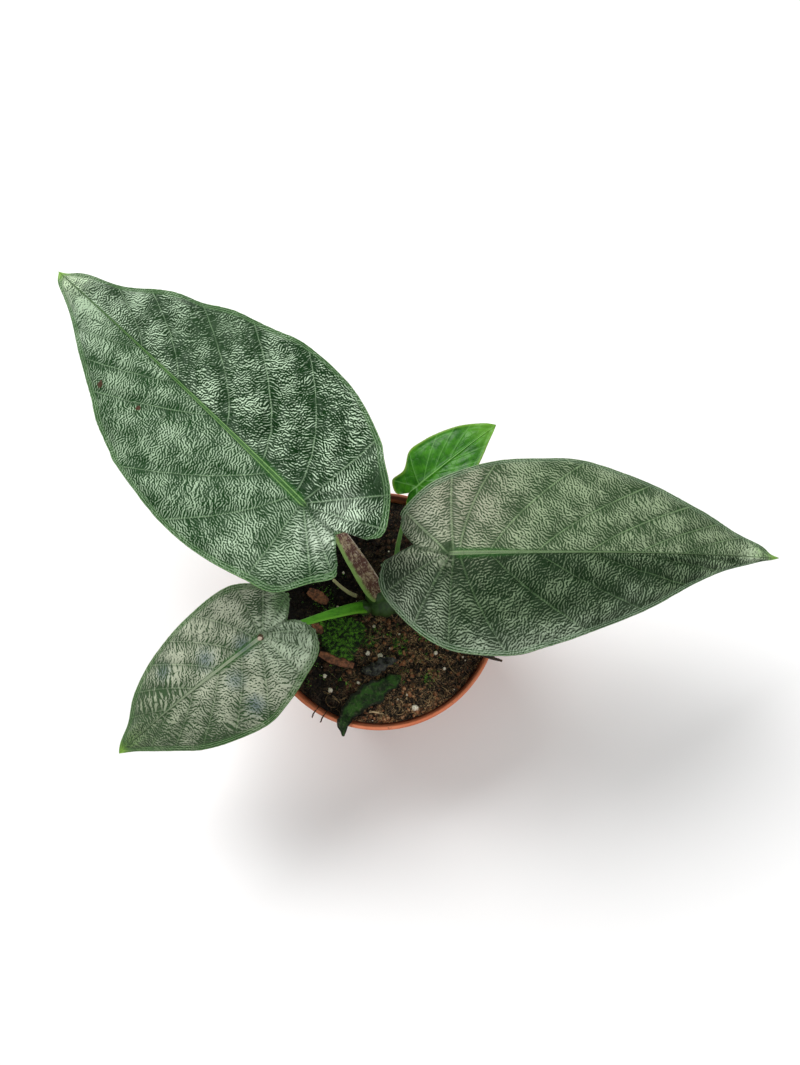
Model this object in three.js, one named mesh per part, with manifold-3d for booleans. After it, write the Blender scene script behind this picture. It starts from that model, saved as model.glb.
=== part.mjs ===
// Velvet-leaved alocasia in a 12 cm nursery pot, millimetres, +Z up.
// The origin is the centre of the pot's foot. Four leaves stand on petioles over the soil.
import * as THREE from 'three';
import { mergeVertices } from 'three/addons/utils/BufferGeometryUtils.js';
import Module from 'manifold-3d';

const wasm = await Module();
wasm.setup();

// Gap that keeps neighbouring solids apart
const GAP = 0.3;

// Pot
const RIM_RADIUS = 60;
const RIM_HEIGHT = 104;
const COLLAR_DROP = 9;
const WALL_TOP_RADIUS = 57.4;
const FOOT_RADIUS = 42;
const WALL = 1.6;
const FLOOR = 2;
const POT_SIDES = 38;
const DRAIN_HOLES = 8;
const DRAIN_RADIUS = 3.2;
const DRAIN_CIRCLE = 33;

// Soil and what grows in it
const SOIL_LEVEL = 98;
const SOIL_RINGS = 11;
const SOIL_SIDES = 38;
const CROWN_CENTRE = [2.5, 4.2];
const MOSS_CENTRE = [-19, -14];
const MOSS_RADIUS = 13;
const MOSS_RISE = 4.5;

// Blades
const BLADE_THICKNESS = 1;
const EDGE_THICKNESS = 0.7;
const QUILT = 0.075;
const MIDRIB_RISE = 0.55;
const VEIN_RISE = 0.4;
const RIM_FURROW = 0.35;

const group = new THREE.Group();

const add = (name, solid, colour, roughness) => {
  const mesh = solid.getMesh();
  const geometry = new THREE.BufferGeometry();
  geometry.setAttribute('position', new THREE.BufferAttribute(new Float32Array(mesh.vertProperties), 3));
  geometry.setIndex(new THREE.BufferAttribute(new Uint32Array(mesh.triVerts), 1));
  geometry.computeVertexNormals();
  const material = new THREE.MeshStandardMaterial({ color: colour, roughness, metalness: 0 });
  const piece = new THREE.Mesh(geometry, material);
  piece.name = name;
  group.add(piece);
};

const solidOf = (geometry) => {
  const bare = new THREE.BufferGeometry();
  bare.setAttribute('position', geometry.getAttribute('position').clone());
  if (geometry.index) bare.setIndex(geometry.index.clone());
  const welded = mergeVertices(bare, 1e-4);
  const index = welded.index.array;
  const kept = [];
  for (let i = 0; i < index.length; i += 3) {
    const [a, b, c] = [index[i], index[i + 1], index[i + 2]];
    if (a !== b && b !== c && c !== a) kept.push(a, b, c);
  }
  return new wasm.Manifold(new wasm.Mesh({
    numProp: 3,
    vertProperties: new Float32Array(welded.getAttribute('position').array),
    triVerts: new Uint32Array(kept),
  }));
};

// The main body where a cut leaves loose splinters beside it
const largest = (solid) => {
  const bodies = solid.decompose();
  return bodies.reduce((best, body) => (body.volume() > best.volume() ? body : best));
};

// Moves every point of a geometry to where a rule puts it
const reshape = (geometry, rule) => {
  const place = geometry.getAttribute('position');
  const point = new THREE.Vector3();
  for (let i = 0; i < place.count; i += 1) {
    point.fromBufferAttribute(place, i);
    rule(point);
    place.setXYZ(i, point.x, point.y, point.z);
  }
  return geometry;
};

const seeded = (seed) => {
  let state = seed;
  return () => {
    state = (state * 16807) % 2147483647;
    return state / 2147483647;
  };
};

const smooth = (low, high, x) => THREE.MathUtils.smoothstep(x, low, high);
const bell = (distance, width) => Math.exp(-((distance / width) ** 2));

// A round turned shape: profile points are [radius, height]
const turned = (profile, sides) => {
  const points = profile.map(([radius, height]) => new THREE.Vector2(radius, height));
  return new THREE.LatheGeometry(points, sides).rotateX(Math.PI / 2);
};

// Plain rolling ground of the soil, without its crumbs
const ground = (x, y) => {
  const roll = 0.7 * Math.sin(x / 9 + 1) * Math.sin(y / 11) + 0.4 * Math.sin((x + y) / 5);
  const away = Math.hypot(x - CROWN_CENTRE[0], y - CROWN_CENTRE[1]);
  return SOIL_LEVEL + roll + 2.2 * bell(away, 15);
};

// Pot: foot with drain holes, sloping wall and a straight collar under the rim
const slope = (RIM_HEIGHT - COLLAR_DROP) / (WALL_TOP_RADIUS - FOOT_RADIUS);
const outerRadius = (height) => FOOT_RADIUS + height / slope;
const potShell = solidOf(turned([
  [0, 0],
  [FOOT_RADIUS, 0],
  [outerRadius(RIM_HEIGHT - COLLAR_DROP - 1.5), RIM_HEIGHT - COLLAR_DROP - 1.5],
  [RIM_RADIUS - 0.5, RIM_HEIGHT - COLLAR_DROP],
  [RIM_RADIUS, RIM_HEIGHT - 0.8],
  [RIM_RADIUS - 0.6, RIM_HEIGHT],
  [RIM_RADIUS - WALL + 0.3, RIM_HEIGHT],
  [RIM_RADIUS - WALL - 0.2, RIM_HEIGHT - 1],
  [RIM_RADIUS - WALL - 0.5, RIM_HEIGHT - COLLAR_DROP + 2],
  [outerRadius(RIM_HEIGHT - COLLAR_DROP - 2) - WALL, RIM_HEIGHT - COLLAR_DROP - 2],
  [outerRadius(FLOOR) - WALL, FLOOR],
  [0, FLOOR],
], POT_SIDES));
let pot = potShell;
for (let i = 0; i < DRAIN_HOLES; i += 1) {
  const turn = (i * 2 * Math.PI) / DRAIN_HOLES;
  const hole = new THREE.CylinderGeometry(DRAIN_RADIUS, DRAIN_RADIUS, 3 * FLOOR, 12).rotateX(Math.PI / 2);
  hole.translate(DRAIN_CIRCLE * Math.cos(turn), DRAIN_CIRCLE * Math.sin(turn), FLOOR / 2);
  pot = pot.subtract(solidOf(hole));
}
add('pot', pot, 0xb9603f, 0.6);

// Stalk that follows a path. girth gives the sideways and the front radius at a share of the length and an
// angle round it.
const stalk = (points, girth, steps, sides) => {
  const path = new THREE.CatmullRomCurve3(points.map((p) => new THREE.Vector3(...p)), false, 'centripetal');
  const profile = [[0, 0]];
  for (let i = 0; i <= steps; i += 1) profile.push([1, i / steps]);
  profile.push([0, 1]);
  const up = new THREE.Vector3(0, 0, 1);
  return reshape(turned(profile, sides), (point) => {
    const share = THREE.MathUtils.clamp(point.z, 0, 1);
    const tangent = path.getTangentAt(share);
    const side = new THREE.Vector3().crossVectors(up, tangent).normalize();
    const front = new THREE.Vector3().crossVectors(tangent, side);
    const spread = Math.hypot(point.x, point.y);
    const angle = Math.atan2(point.y, point.x);
    const [wide, deep] = spread < 1e-6 ? [0, 0] : girth(share, angle);
    point.copy(path.getPointAt(share));
    point.addScaledVector(side, wide * Math.cos(angle));
    point.addScaledVector(front, deep * Math.sin(angle));
  });
};

// Petiole: tapers upward, with a channel between two low wings in its sheathing lower part
const petioleGirth = (foot, head, wing, extra) => (share, angle) => {
  const taper = head + (foot - head) * (1 - share) ** 1.4;
  const sheath = wing * (1 - smooth(0.35, 0.8, share)) * smooth(-0.05, 0.2, share);
  const turn = Math.abs(Math.atan2(Math.sin(angle - Math.PI / 2), Math.cos(angle - Math.PI / 2)));
  const wings = sheath * bell(turn - 0.95, 0.35);
  const channel = 0.3 * taper * bell(turn, 0.5) * (1 - 0.6 * share);
  const tip = share > 0.985 ? 0.6 : 1;
  const radius = tip * (taper + wings - channel) + extra;
  return [radius, radius];
};

const PETIOLES = {
  petiole_large: {
    points: [
      [0.8, 6.8, 91], [-2.6, 9.2, 108], [-9.9, 18.2, 142], [-16, 25.4, 168], [-23, 28.4, 197],
      [-26.2, 27.7, 221.9],
    ],
    foot: 4.1, head: 2.2, wing: 2.4, colour: 0x5a4a34,
  },
  petiole_right: {
    points: [[10.4, 1.6, 92], [13, 2.4, 106], [19.4, 5.8, 132], [28.6, 9.6, 160], [36.6, 12.3, 185.9]],
    foot: 2.8, head: 1.9, wing: 0.9, colour: 0x5a6a3a,
  },
  petiole_left: {
    points: [
      [-6.6, 1.2, 92], [-9.6, 0.2, 104], [-18, -3.6, 118.5], [-32.7, -9.8, 132], [-45.5, -15.6, 140],
      [-52.2, -18.5, 143.9],
    ],
    foot: 2.7, head: 1.45, wing: 1.1, colour: 0x477a28,
  },
  petiole_young: {
    points: [
      [9.4, 11.4, 93], [9.2, 15, 104], [9.6, 25.7, 121], [12.6, 36.5, 132], [16.6, 46.4, 142],
      [20.6, 52.2, 148.1],
    ],
    foot: 1.3, head: 0.9, wing: 0.3, colour: 0x6f9a44,
  },
  old_stalk: {
    points: [[-9.4, 7.4, 93], [-14.3, 8.1, 102.5], [-18.4, 10.2, 109], [-22.2, 13.1, 115]],
    foot: 1.15, head: 0.8, wing: 0, colour: 0xb9a878,
  },
};

const petioleSolid = ({ points, foot, head, wing }, extra) => (
  solidOf(stalk(points, petioleGirth(foot, head, wing, extra), 12, 10))
);

// Sheath bases of the crown, each a tilted egg: centre, half widths, lean
const CROWN_LOBES = [
  { at: [2.5, 4.2, 95], size: [10.5, 8.5, 10], lean: 0 },
  { at: [-0.6, 7.6, 99], size: [6.6, 6.2, 9], lean: -0.12 },
  { at: [10.2, 2.2, 98], size: [4.9, 4.6, 8.5], lean: 0.15 },
  { at: [-7.4, 1.4, 97], size: [4.9, 4.3, 7.5], lean: -0.3 },
  { at: [9.2, 11.6, 97], size: [3.2, 3.4, 7], lean: 0.1 },
];
const crownShape = (grow) => {
  let shape = null;
  for (const { at, size, lean } of CROWN_LOBES) {
    const egg = new THREE.SphereGeometry(1, 9, 6).rotateX(Math.PI / 2);
    egg.scale(size[0] + grow, size[1] + grow, size[2] + grow);
    egg.rotateY(lean).translate(...at);
    shape = shape ? shape.add(solidOf(egg)) : solidOf(egg);
  }
  return shape;
};

// Pieces lying on the soil: a bent slab with tapered ends, along a path
const slab = (points, halfWidth, thickness, grow) => (
  stalk(points, (share, angle) => {
    const end = 0.35 + 0.65 * Math.sin(Math.PI * THREE.MathUtils.clamp(share, 0.06, 0.94)) ** 0.5;
    const wide = halfWidth * end * (1 + 0.1 * Math.sin(share * 17));
    return [wide + grow, (thickness / 2) * end + grow];
  }, 7, 8)
);

const overSoil = (x, y, lift) => [x, y, ground(x, y) + lift];
const LYING = {
  bark_chip_long: {
    points: [overSoil(-29.8, -21.9, 2.6), overSoil(-21, -25.6, 2.6), overSoil(-12.7, -28, 2.3)],
    halfWidth: 2.2, thickness: 2, colour: 0x6e3b24, rough: 0.85,
  },
  bark_chip_left: {
    points: [overSoil(-36, 10, 2.5), overSoil(-31, 7, 2.7), overSoil(-26, 4, 2.4)],
    halfWidth: 2.8, thickness: 1.9, colour: 0x5f3322, rough: 0.85,
  },
  bark_chip_small: {
    points: [overSoil(-33.4, -6.4, 2.4), overSoil(-31, -8.8, 2.5), overSoil(-28.4, -11.4, 2.6)],
    halfWidth: 1.9, thickness: 1.6, colour: 0x5b3524, rough: 0.85,
  },
  rim_twig: {
    points: [overSoil(44, -20.5, 4), [50, -22.8, 106], [55, -24.6, 106.9], [61, -26.4, 105.8]],
    halfWidth: 0.9, thickness: 1.7, colour: 0x2c2118, rough: 0.9,
  },
};

// Soil: a body that fills the pot, with a top of crumbs, moss and perlite
const SOIL_TOP_RADIUS = RIM_RADIUS - WALL - 0.5 - GAP;
const innerRadius = (height) => outerRadius(height) - WALL - GAP;
const crumbs = (x, y) => (
  0.75 * Math.sin(x / 1.9 + 2 * Math.sin(y / 3.1)) * Math.sin(y / 2.1 + 2 * Math.sin(x / 3.7))
  + 0.35 * Math.sin(x * 1.7 + y) * Math.sin(y * 1.3 - x)
);
const mossRise = (x, y) => {
  const away = Math.hypot(x - MOSS_CENTRE[0], (y - MOSS_CENTRE[1]) * 0.9);
  const edge = MOSS_RADIUS * (1 + 0.12 * Math.sin(3 * Math.atan2(y - MOSS_CENTRE[1], x - MOSS_CENTRE[0])));
  return MOSS_RISE * (1 - smooth(0.35 * edge, edge, away)) * (0.85 + 0.15 * Math.sin(x * 1.1) * Math.sin(y));
};
const soilTop = (x, y) => ground(x, y) + crumbs(x, y) + mossRise(x, y);

const soilProfile = [[0, FLOOR + GAP], [innerRadius(FLOOR + GAP), FLOOR + GAP]];
const collarFoot = RIM_HEIGHT - COLLAR_DROP - 2.5;
soilProfile.push([innerRadius(collarFoot), collarFoot]);
soilProfile.push([SOIL_TOP_RADIUS - 1.2, RIM_HEIGHT - COLLAR_DROP + 0.5]);
for (let ring = 0; ring <= SOIL_RINGS; ring += 1) {
  soilProfile.push([(SOIL_TOP_RADIUS - 1.2) * (1 - ring / SOIL_RINGS), SOIL_LEVEL]);
}
let soil = solidOf(reshape(turned(soilProfile, SOIL_SIDES), (point) => {
  if (point.z > SOIL_LEVEL - 0.5) {
    const radius = Math.hypot(point.x, point.y);
    const inside = 1 - smooth(0.9 * SOIL_TOP_RADIUS, SOIL_TOP_RADIUS, radius);
    point.z = THREE.MathUtils.lerp(SOIL_LEVEL - 0.8, soilTop(point.x, point.y), inside);
  }
}));

// Perlite grains seen near the camera, then more by a seeded draw
const PERLITE_SEEN = [
  [-5.9, -21.5, 1.6], [0.4, -23, 1.5], [-27.4, -33, 1.5], [-24.6, -39.9, 1.5], [17.8, -48.9, 2.2],
  [28.4, -21.6, 1.4], [2.8, -13, 1.1], [-2.7, -7.9, 1.1],
];
const PERLITE_DRAWN = 11;
const draw = seeded(71);
const grains = [...PERLITE_SEEN];
while (grains.length < PERLITE_SEEN.length + PERLITE_DRAWN) {
  const turn = 2 * Math.PI * draw();
  const radius = 50 * Math.sqrt(draw());
  const size = 0.9 + 0.9 * draw();
  const [x, y] = [radius * Math.cos(turn), radius * Math.sin(turn)];
  const clear = Math.hypot(x - CROWN_CENTRE[0], y - CROWN_CENTRE[1]) > 15;
  if (clear && mossRise(x, y) < 0.2) grains.push([x, y, size]);
}
for (const [x, y, size] of grains) {
  const grain = new THREE.IcosahedronGeometry(size, 0).rotateZ(draw() * 6).rotateX(draw() * 6);
  grain.scale(1, 0.85, 0.9).translate(x, y, soilTop(x, y) + 0.35 * size);
  soil = soil.add(solidOf(grain));
}

// Blades: rib rows are [midrib start, left end along and across, right end along and across, vein sides]
const BLADES = {
  blade_large: {
    at: [-26.5, 27.4, 224], heading: 135, pitch: 0, droop: 24, length: 170, tuck: 25, lobe: 35,
    fold: [4, 4], arch: 0.001, notch: [-19.5, -0.5], tip: [173, 0], bow: [0.14, 0.27],
    wave: [0.9, 1.5], waves: 0.37, blister: [0.2, 0.55], columns: 6, colour: 0x6c8167,
    ribs: [
      [-16, -25, 4.5, -22.5, -4.6, ''],
      [-12, -30, 8, -31, -9, ''],
      [-3, -32, 12.5, -33, -17, 'LR'],
      [-1, -27, 20.7, -24, -29, 'LR'],
      [-0.5, -19, 34, -11.5, -37, ''],
      [0, -6, 39, -2, -43, 'LR'],
      [2, 16, 45, 22, -50.5, ''],
      [4.5, 40, 47, 50, -50.5, 'LR'],
      [18, 71, 43.5, 66, -47, 'L'],
      [24, 79, 41.5, 78, -43, 'R'],
      [36, 92, 37, 91, -38.5, ''],
      [46, 101, 32.5, 103, -33.5, 'R'],
      [55, 109, 29, 112, -29.5, 'L'],
      [78, 124, 21.5, 126, -22.5, 'LR'],
      [103, 140, 14, 142, -13.5, 'LR'],
      [128, 155, 8, 156, -8, ''],
      [150, 166, 4, 167, -3.5, ''],
    ],
  },
  blade_right: {
    at: [36.9, 12.5, 188], heading: 1.6, pitch: -4, droop: 23, length: 155, tuck: 30, lobe: 35,
    fold: [11, 13], arch: 0.0015, notch: [-18, 4.5], tip: [159, 0.5], bow: [0.17, 0.14],
    wave: [0.7, 0.9], waves: 0.41, blister: [0.15, 0.3], columns: 6, colour: 0x5f7457,
    ribs: [
      [-14, -24, 12, -27.5, 1, ''],
      [-8, -25, 17, -34, -4, ''],
      [-3, -23.5, 22, -35, -16, 'LR'],
      [-1.5, -12, 33, -22, -31, 'R'],
      [-0.5, 1, 38.5, -4, -41, 'LR'],
      [2, 23, 44.5, 24, -44, 'LR'],
      [8, 45, 46, 42, -40.5, ''],
      [15, 66, 44.5, 62, -34.5, 'LR'],
      [36, 98, 34, 88, -25, 'LR'],
      [60, 116, 24, 110, -14, 'LR'],
      [84, 130, 16, 127, -7, 'LR'],
      [106, 141, 10, 141, -3.4, 'LR'],
      [126, 150, 5.5, 150, -1.2, ''],
      [143, 155, 2.5, 155, -0.5, ''],
    ],
  },
  blade_left: {
    at: [-53, -18.9, 146], heading: -145, pitch: -12, droop: 24, length: 99, tuck: 30, lobe: 25,
    fold: [10, 12], arch: 0.002, notch: [-14.5, 0.5], tip: [100.6, 0], bow: [0.14, 0.14],
    wave: [0.7, 0.8], waves: 0.43, blister: [0.15, 0.2], columns: 5, colour: 0x7d866f,
    ribs: [
      [-10, -20, 4.5, -19, -4, ''],
      [-3, -24, 12, -22.5, -11, 'LR'],
      [-1, -18, 21.5, -15, -21.5, 'LR'],
      [0, -5, 27, -2, -29.5, 'LR'],
      [1, 10, 32, 12, -32, ''],
      [2, 24, 34, 27, -31.5, 'LR'],
      [12, 43, 30.5, 45, -28.5, 'LR'],
      [26, 60, 24.5, 61, -25, 'LR'],
      [42, 73, 16.5, 74, -18, 'LR'],
      [60, 84, 9, 85, -10, 'LR'],
      [76, 92, 4.5, 93, -5, ''],
    ],
  },
  blade_young: {
    at: [20.9, 52.7, 150], heading: 36.7, pitch: 14, droop: 12, length: 46, tuck: 20, lobe: 14,
    fold: [-6, -6], arch: 0.002, notch: [-6.5, 0], tip: [46, 0], bow: [0.14, 0.14],
    wave: [0.4, 0.4], waves: 0.45, blister: [0, 0], columns: 3, colour: 0x4e8433,
    ribs: [
      [-4, -11.5, 4, -11.5, -4, ''],
      [-1.5, -9, 10, -9, -10, 'LR'],
      [-0.5, -1.5, 10, -1.5, -10.5, ''],
      [0, 6, 15.5, 6, -15, 'LR'],
      [1.5, 14, 15.2, 14, -15.2, ''],
      [3, 22, 13.8, 22, -13, 'LR'],
      [9, 30, 11, 30, -9.2, 'LR'],
      [18, 37, 7.5, 37, -5.2, 'LR'],
      [29, 42, 4, 42, -2.5, ''],
    ],
  },
};

const radians = THREE.MathUtils.degToRad;

// The bent plane of a blade: along the midrib it droops, behind the petiole it tucks down
const bladePlane = (blade, along, across, lift) => {
  const start = radians(blade.pitch);
  const curl = along > 0 ? radians(blade.droop) / blade.length : radians(blade.tuck) / blade.lobe;
  const angle = start - curl * along;
  const out = (Math.sin(start) - Math.sin(angle)) / curl;
  const rise = (Math.cos(angle) - Math.cos(start)) / curl;
  const share = 1 / (1 + Math.exp(-across / 4));
  const fold = share * blade.fold[0] + (1 - share) * blade.fold[1];
  const height = lift - Math.tan(radians(fold)) * (Math.sqrt(across ** 2 + 9) - 3) - blade.arch * across ** 2;
  const [cos, sin] = [Math.cos(radians(blade.heading)), Math.sin(radians(blade.heading))];
  return new THREE.Vector3(
    blade.at[0] + out * cos - across * sin - height * cos * Math.sin(angle),
    blade.at[1] + out * sin + across * cos - height * sin * Math.sin(angle),
    blade.at[2] + rise + height * Math.cos(angle),
  );
};

// Layout of one side of a blade: rows run from the midrib to the margin, bowed toward the base
const bladeSide = (blade, side) => {
  const pick = side === 'L' ? 1 : 3;
  const ends = [
    new THREE.Vector3(blade.notch[0], blade.notch[0], blade.notch[1]),
    ...blade.ribs.map((rib) => new THREE.Vector3(rib[0], rib[pick], rib[pick + 1])),
    new THREE.Vector3(blade.tip[0], blade.tip[0], blade.tip[1]),
  ];
  const last = ends.length - 1;
  const spline = new THREE.CatmullRomCurve3(ends, false, 'catmullrom');
  const veins = [0, ...blade.ribs.flatMap((rib, i) => (rib[5].includes(side) ? [i + 1] : [])), last];
  const midline = (along) => (
    along < 0 ? blade.notch[1] * (along / blade.notch[0]) ** 2 : blade.tip[1] * (along / blade.tip[0]) ** 2
  );
  const row = (w) => {
    const end = spline.getPoint(THREE.MathUtils.clamp(w / last, 0, 1));
    const root = new THREE.Vector2(end.x, midline(end.x));
    const margin = new THREE.Vector2(end.y, end.z);
    const reach = root.distanceTo(margin);
    const bend = blade.bow[side === 'L' ? 0 : 1] * reach * THREE.MathUtils.clamp((end.y + 10) / 40, 0, 1);
    const middle = root.clone().add(margin).multiplyScalar(0.5);
    middle.x -= bend;
    return new THREE.QuadraticBezierCurve(root, middle, margin);
  };
  return { row, veins, last };
};

// Height of quilting, veins, margin furrow and waves over the bent plane
const bladeRelief = (blade, side, layout, w, u) => {
  const here = layout.row(w).getPoint(u);
  const root = layout.row(w).getPoint(0);
  const edge = layout.row(w).getPoint(1);
  const before = layout.row(Math.max(w - 0.5, 0)).getPoint(u);
  const after = layout.row(Math.min(w + 0.5, layout.last)).getPoint(u);
  const spacing = before.distanceTo(after);
  const next = Math.max(layout.veins.findIndex((vein) => vein > w), 1);
  const [low, high] = [layout.veins[next - 1], layout.veins[next]];
  const share = THREE.MathUtils.clamp((w - low) / (high - low), 0, 1);
  const reach = here.distanceTo(root);
  const toEdge = here.distanceTo(edge);
  const cell = Math.min(spacing * (high - low), 26);
  const inner = (1 - Math.exp(-((reach / 9) ** 2))) * smooth(1, 9, toEdge);
  const pillow = QUILT * cell * Math.sin(Math.PI * share) * inner;
  const veinDistance = Math.min(w - low, high - w) * spacing;
  const real = (low > 0 || w - low > high - w) && (high < layout.last || w - low < high - w);
  const vein = real ? VEIN_RISE * bell(veinDistance, 0.9) * smooth(1, 8, toEdge) * smooth(0.5, 5, reach) : 0;
  const midrib = MIDRIB_RISE * bell(reach, 1.5) * smooth(0, 12, blade.tip[0] - root.x);
  const furrow = -RIM_FURROW * bell(toEdge - 2.8, 1.1);
  const n = side === 'L' ? 0 : 1;
  const wave = blade.wave[n] * u ** 4 * Math.sin(2 * Math.PI * blade.waves * w + 2.1 * n);
  const blister = blade.blister[n] * inner * Math.sin(here.x / 2.6 + 1.4 * Math.sin(here.y / 6))
    * Math.sin(here.y / 2.9 + 1.2 * Math.sin(here.x / 8));
  return { here, lift: pillow + vein + midrib + furrow + wave + blister, midrib };
};

// Rows crowd at the veins, columns at the midrib and the margin
const bladeRows = (blade) => {
  const rows = [];
  blade.ribs.forEach((rib, i) => {
    const vein = rib[5] !== '';
    rows.push(i + 0.5);
    if (vein) rows.push(i + 0.84);
    rows.push(i + 1);
    if (vein) rows.push(i + 1.16);
  });
  rows.push(blade.ribs.length + 0.5);
  return rows;
};

const bladeSolid = (blade) => {
  const columns = [];
  for (let c = 0; c <= blade.columns; c += 1) columns.push(c / blade.columns);
  columns.splice(1, 0, 0.045);
  columns.splice(columns.length - 1, 0, 0.95);
  const stations = [
    ...columns.slice(1).reverse().map((u) => ['L', u]),
    ...columns.map((u) => ['R', u]),
  ];
  const layout = { L: bladeSide(blade, 'L'), R: bladeSide(blade, 'R') };
  const rows = bladeRows(blade);
  const top = [];
  const under = [];
  const place = (side, w, u) => {
    const { here, lift, midrib } = bladeRelief(blade, side, layout[side], w, u);
    const edge = smooth(0.8, 1, u);
    const depth = THREE.MathUtils.lerp(BLADE_THICKNESS, EDGE_THICKNESS, edge) + 0.8 * midrib;
    top.push(...bladePlane(blade, here.x, here.y, lift).toArray());
    under.push(...bladePlane(blade, here.x, here.y, lift - depth).toArray());
  };
  place('L', 0, 0);
  for (const w of rows) {
    for (const [side, u] of stations) place(side, w, u);
  }
  place('L', layout.L.last, 0);
  const wide = stations.length;
  const count = top.length / 3;
  const at = (row, column) => {
    if (row < 0) return 0;
    return row < rows.length ? 1 + row * wide + column : count - 1;
  };
  const faces = [];
  const both = (a, b, c) => {
    if (a === b || b === c || a === c) return;
    faces.push(a, b, c, a + count, c + count, b + count);
  };
  for (let row = -1; row < rows.length; row += 1) {
    for (let column = 0; column < wide - 1; column += 1) {
      const [a, b] = [at(row, column), at(row, column + 1)];
      const [c, d] = [at(row + 1, column), at(row + 1, column + 1)];
      if (column < (wide - 1) / 2) {
        both(a, b, c);
        both(b, d, c);
      } else {
        both(a, b, d);
        both(a, d, c);
      }
    }
    for (const [column, flip] of [[0, false], [wide - 1, true]]) {
      const [a, c] = [at(row, column), at(row + 1, column)];
      if (flip) faces.push(a, a + count, c, c, a + count, c + count);
      else faces.push(a, c, a + count, c, c + count, a + count);
    }
  }
  const geometry = new THREE.BufferGeometry();
  geometry.setAttribute('position', new THREE.Float32BufferAttribute([...top, ...under], 3));
  geometry.setIndex(faces);
  return solidOf(geometry);
};

for (const [name, blade] of Object.entries(BLADES)) {
  add(name, bladeSolid(blade), blade.colour, 0.55);
}

// Dead leaf: a creased strip over the soil whose tail hangs over the rim, and a black scrap on it
const deadBlade = (points, halfWidth, thickness, crease, grow) => (
  stalk(points, (share, angle) => {
    const leaf = 0.12 + 0.88 * Math.sin(Math.PI * share ** 0.8) ** 0.8;
    const wide = halfWidth * leaf * (1 + 0.12 * Math.sin(23 * share));
    return [wide + grow, thickness / 2 + grow + crease * (0.5 + 0.5 * Math.sin(13 * share))];
  }, 12, 10)
);
const DEAD = {
  dead_leaf: {
    points: [
      overSoil(11, -33.5, 3.4), overSoil(3, -38, 3), overSoil(-7, -44, 2.9), overSoil(-14.5, -51, 3.6),
      [-17, -57, 106], [-17.2, -63, 105.4],
    ],
    halfWidth: 5.6, thickness: 1, crease: 0.5, colour: 0x1f3a1c, rough: 0.7,
  },
  black_scrap: {
    points: [
      overSoil(-9.5, -30.5, 2.8), overSoil(-3, -30, 3.6), overSoil(3, -26.4, 3.4), overSoil(9, -25.4, 2.8),
    ],
    halfWidth: 3.2, thickness: 1, crease: 0.7, colour: 0x1a1815, rough: 0.7,
  },
};

// Crown and soil are cut with a grown copy of what stands or lies in them
let crown = crownShape(0);
soil = soil.subtract(crownShape(GAP));
for (const petiole of Object.values(PETIOLES)) {
  const socket = petioleSolid(petiole, GAP);
  crown = crown.subtract(socket);
  soil = soil.subtract(socket);
}
add('crown', largest(crown), 0x3f6a26, 0.5);
for (const [name, petiole] of Object.entries(PETIOLES)) {
  add(name, petioleSolid(petiole, 0), petiole.colour, 0.5);
}
for (const [name, { points, halfWidth, thickness, colour, rough }] of Object.entries(LYING)) {
  soil = soil.subtract(solidOf(slab(points, halfWidth, thickness, GAP)));
  add(name, solidOf(slab(points, halfWidth, thickness, 0)), colour, rough);
}
for (const [name, { points, halfWidth, thickness, crease, colour, rough }] of Object.entries(DEAD)) {
  soil = soil.subtract(solidOf(deadBlade(points, halfWidth, thickness, crease, GAP)));
  add(name, solidOf(deadBlade(points, halfWidth, thickness, crease, 0)), colour, rough);
}
add('soil', largest(soil), 0x372f1f, 0.95);

export default group;
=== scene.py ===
import math
import bpy
import numpy as np
from mathutils import Matrix, Vector


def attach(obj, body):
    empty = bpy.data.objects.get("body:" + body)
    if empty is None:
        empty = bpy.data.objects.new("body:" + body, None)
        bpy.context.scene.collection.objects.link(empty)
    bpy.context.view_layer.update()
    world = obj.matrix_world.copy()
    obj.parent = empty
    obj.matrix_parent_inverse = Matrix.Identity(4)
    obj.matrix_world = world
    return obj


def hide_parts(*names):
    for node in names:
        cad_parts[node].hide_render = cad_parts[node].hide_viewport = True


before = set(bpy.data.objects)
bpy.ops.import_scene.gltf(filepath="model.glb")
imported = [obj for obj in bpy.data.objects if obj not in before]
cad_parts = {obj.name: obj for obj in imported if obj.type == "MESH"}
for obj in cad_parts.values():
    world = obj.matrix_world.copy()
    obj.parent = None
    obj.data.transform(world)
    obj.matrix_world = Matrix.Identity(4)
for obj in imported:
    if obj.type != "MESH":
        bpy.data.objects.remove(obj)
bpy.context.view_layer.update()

# Leaf blades: arrow-shaped, peltate, fleshy sheets with a raised midrib, bowed lateral veins, pillows of
# tissue between them, a furrow inside the margin and a fine crinkled net. Grown as one sheet each, so each
# is one closed surface laid out on rib rows that run from the midrib to the margin.
MM = 0.001


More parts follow.
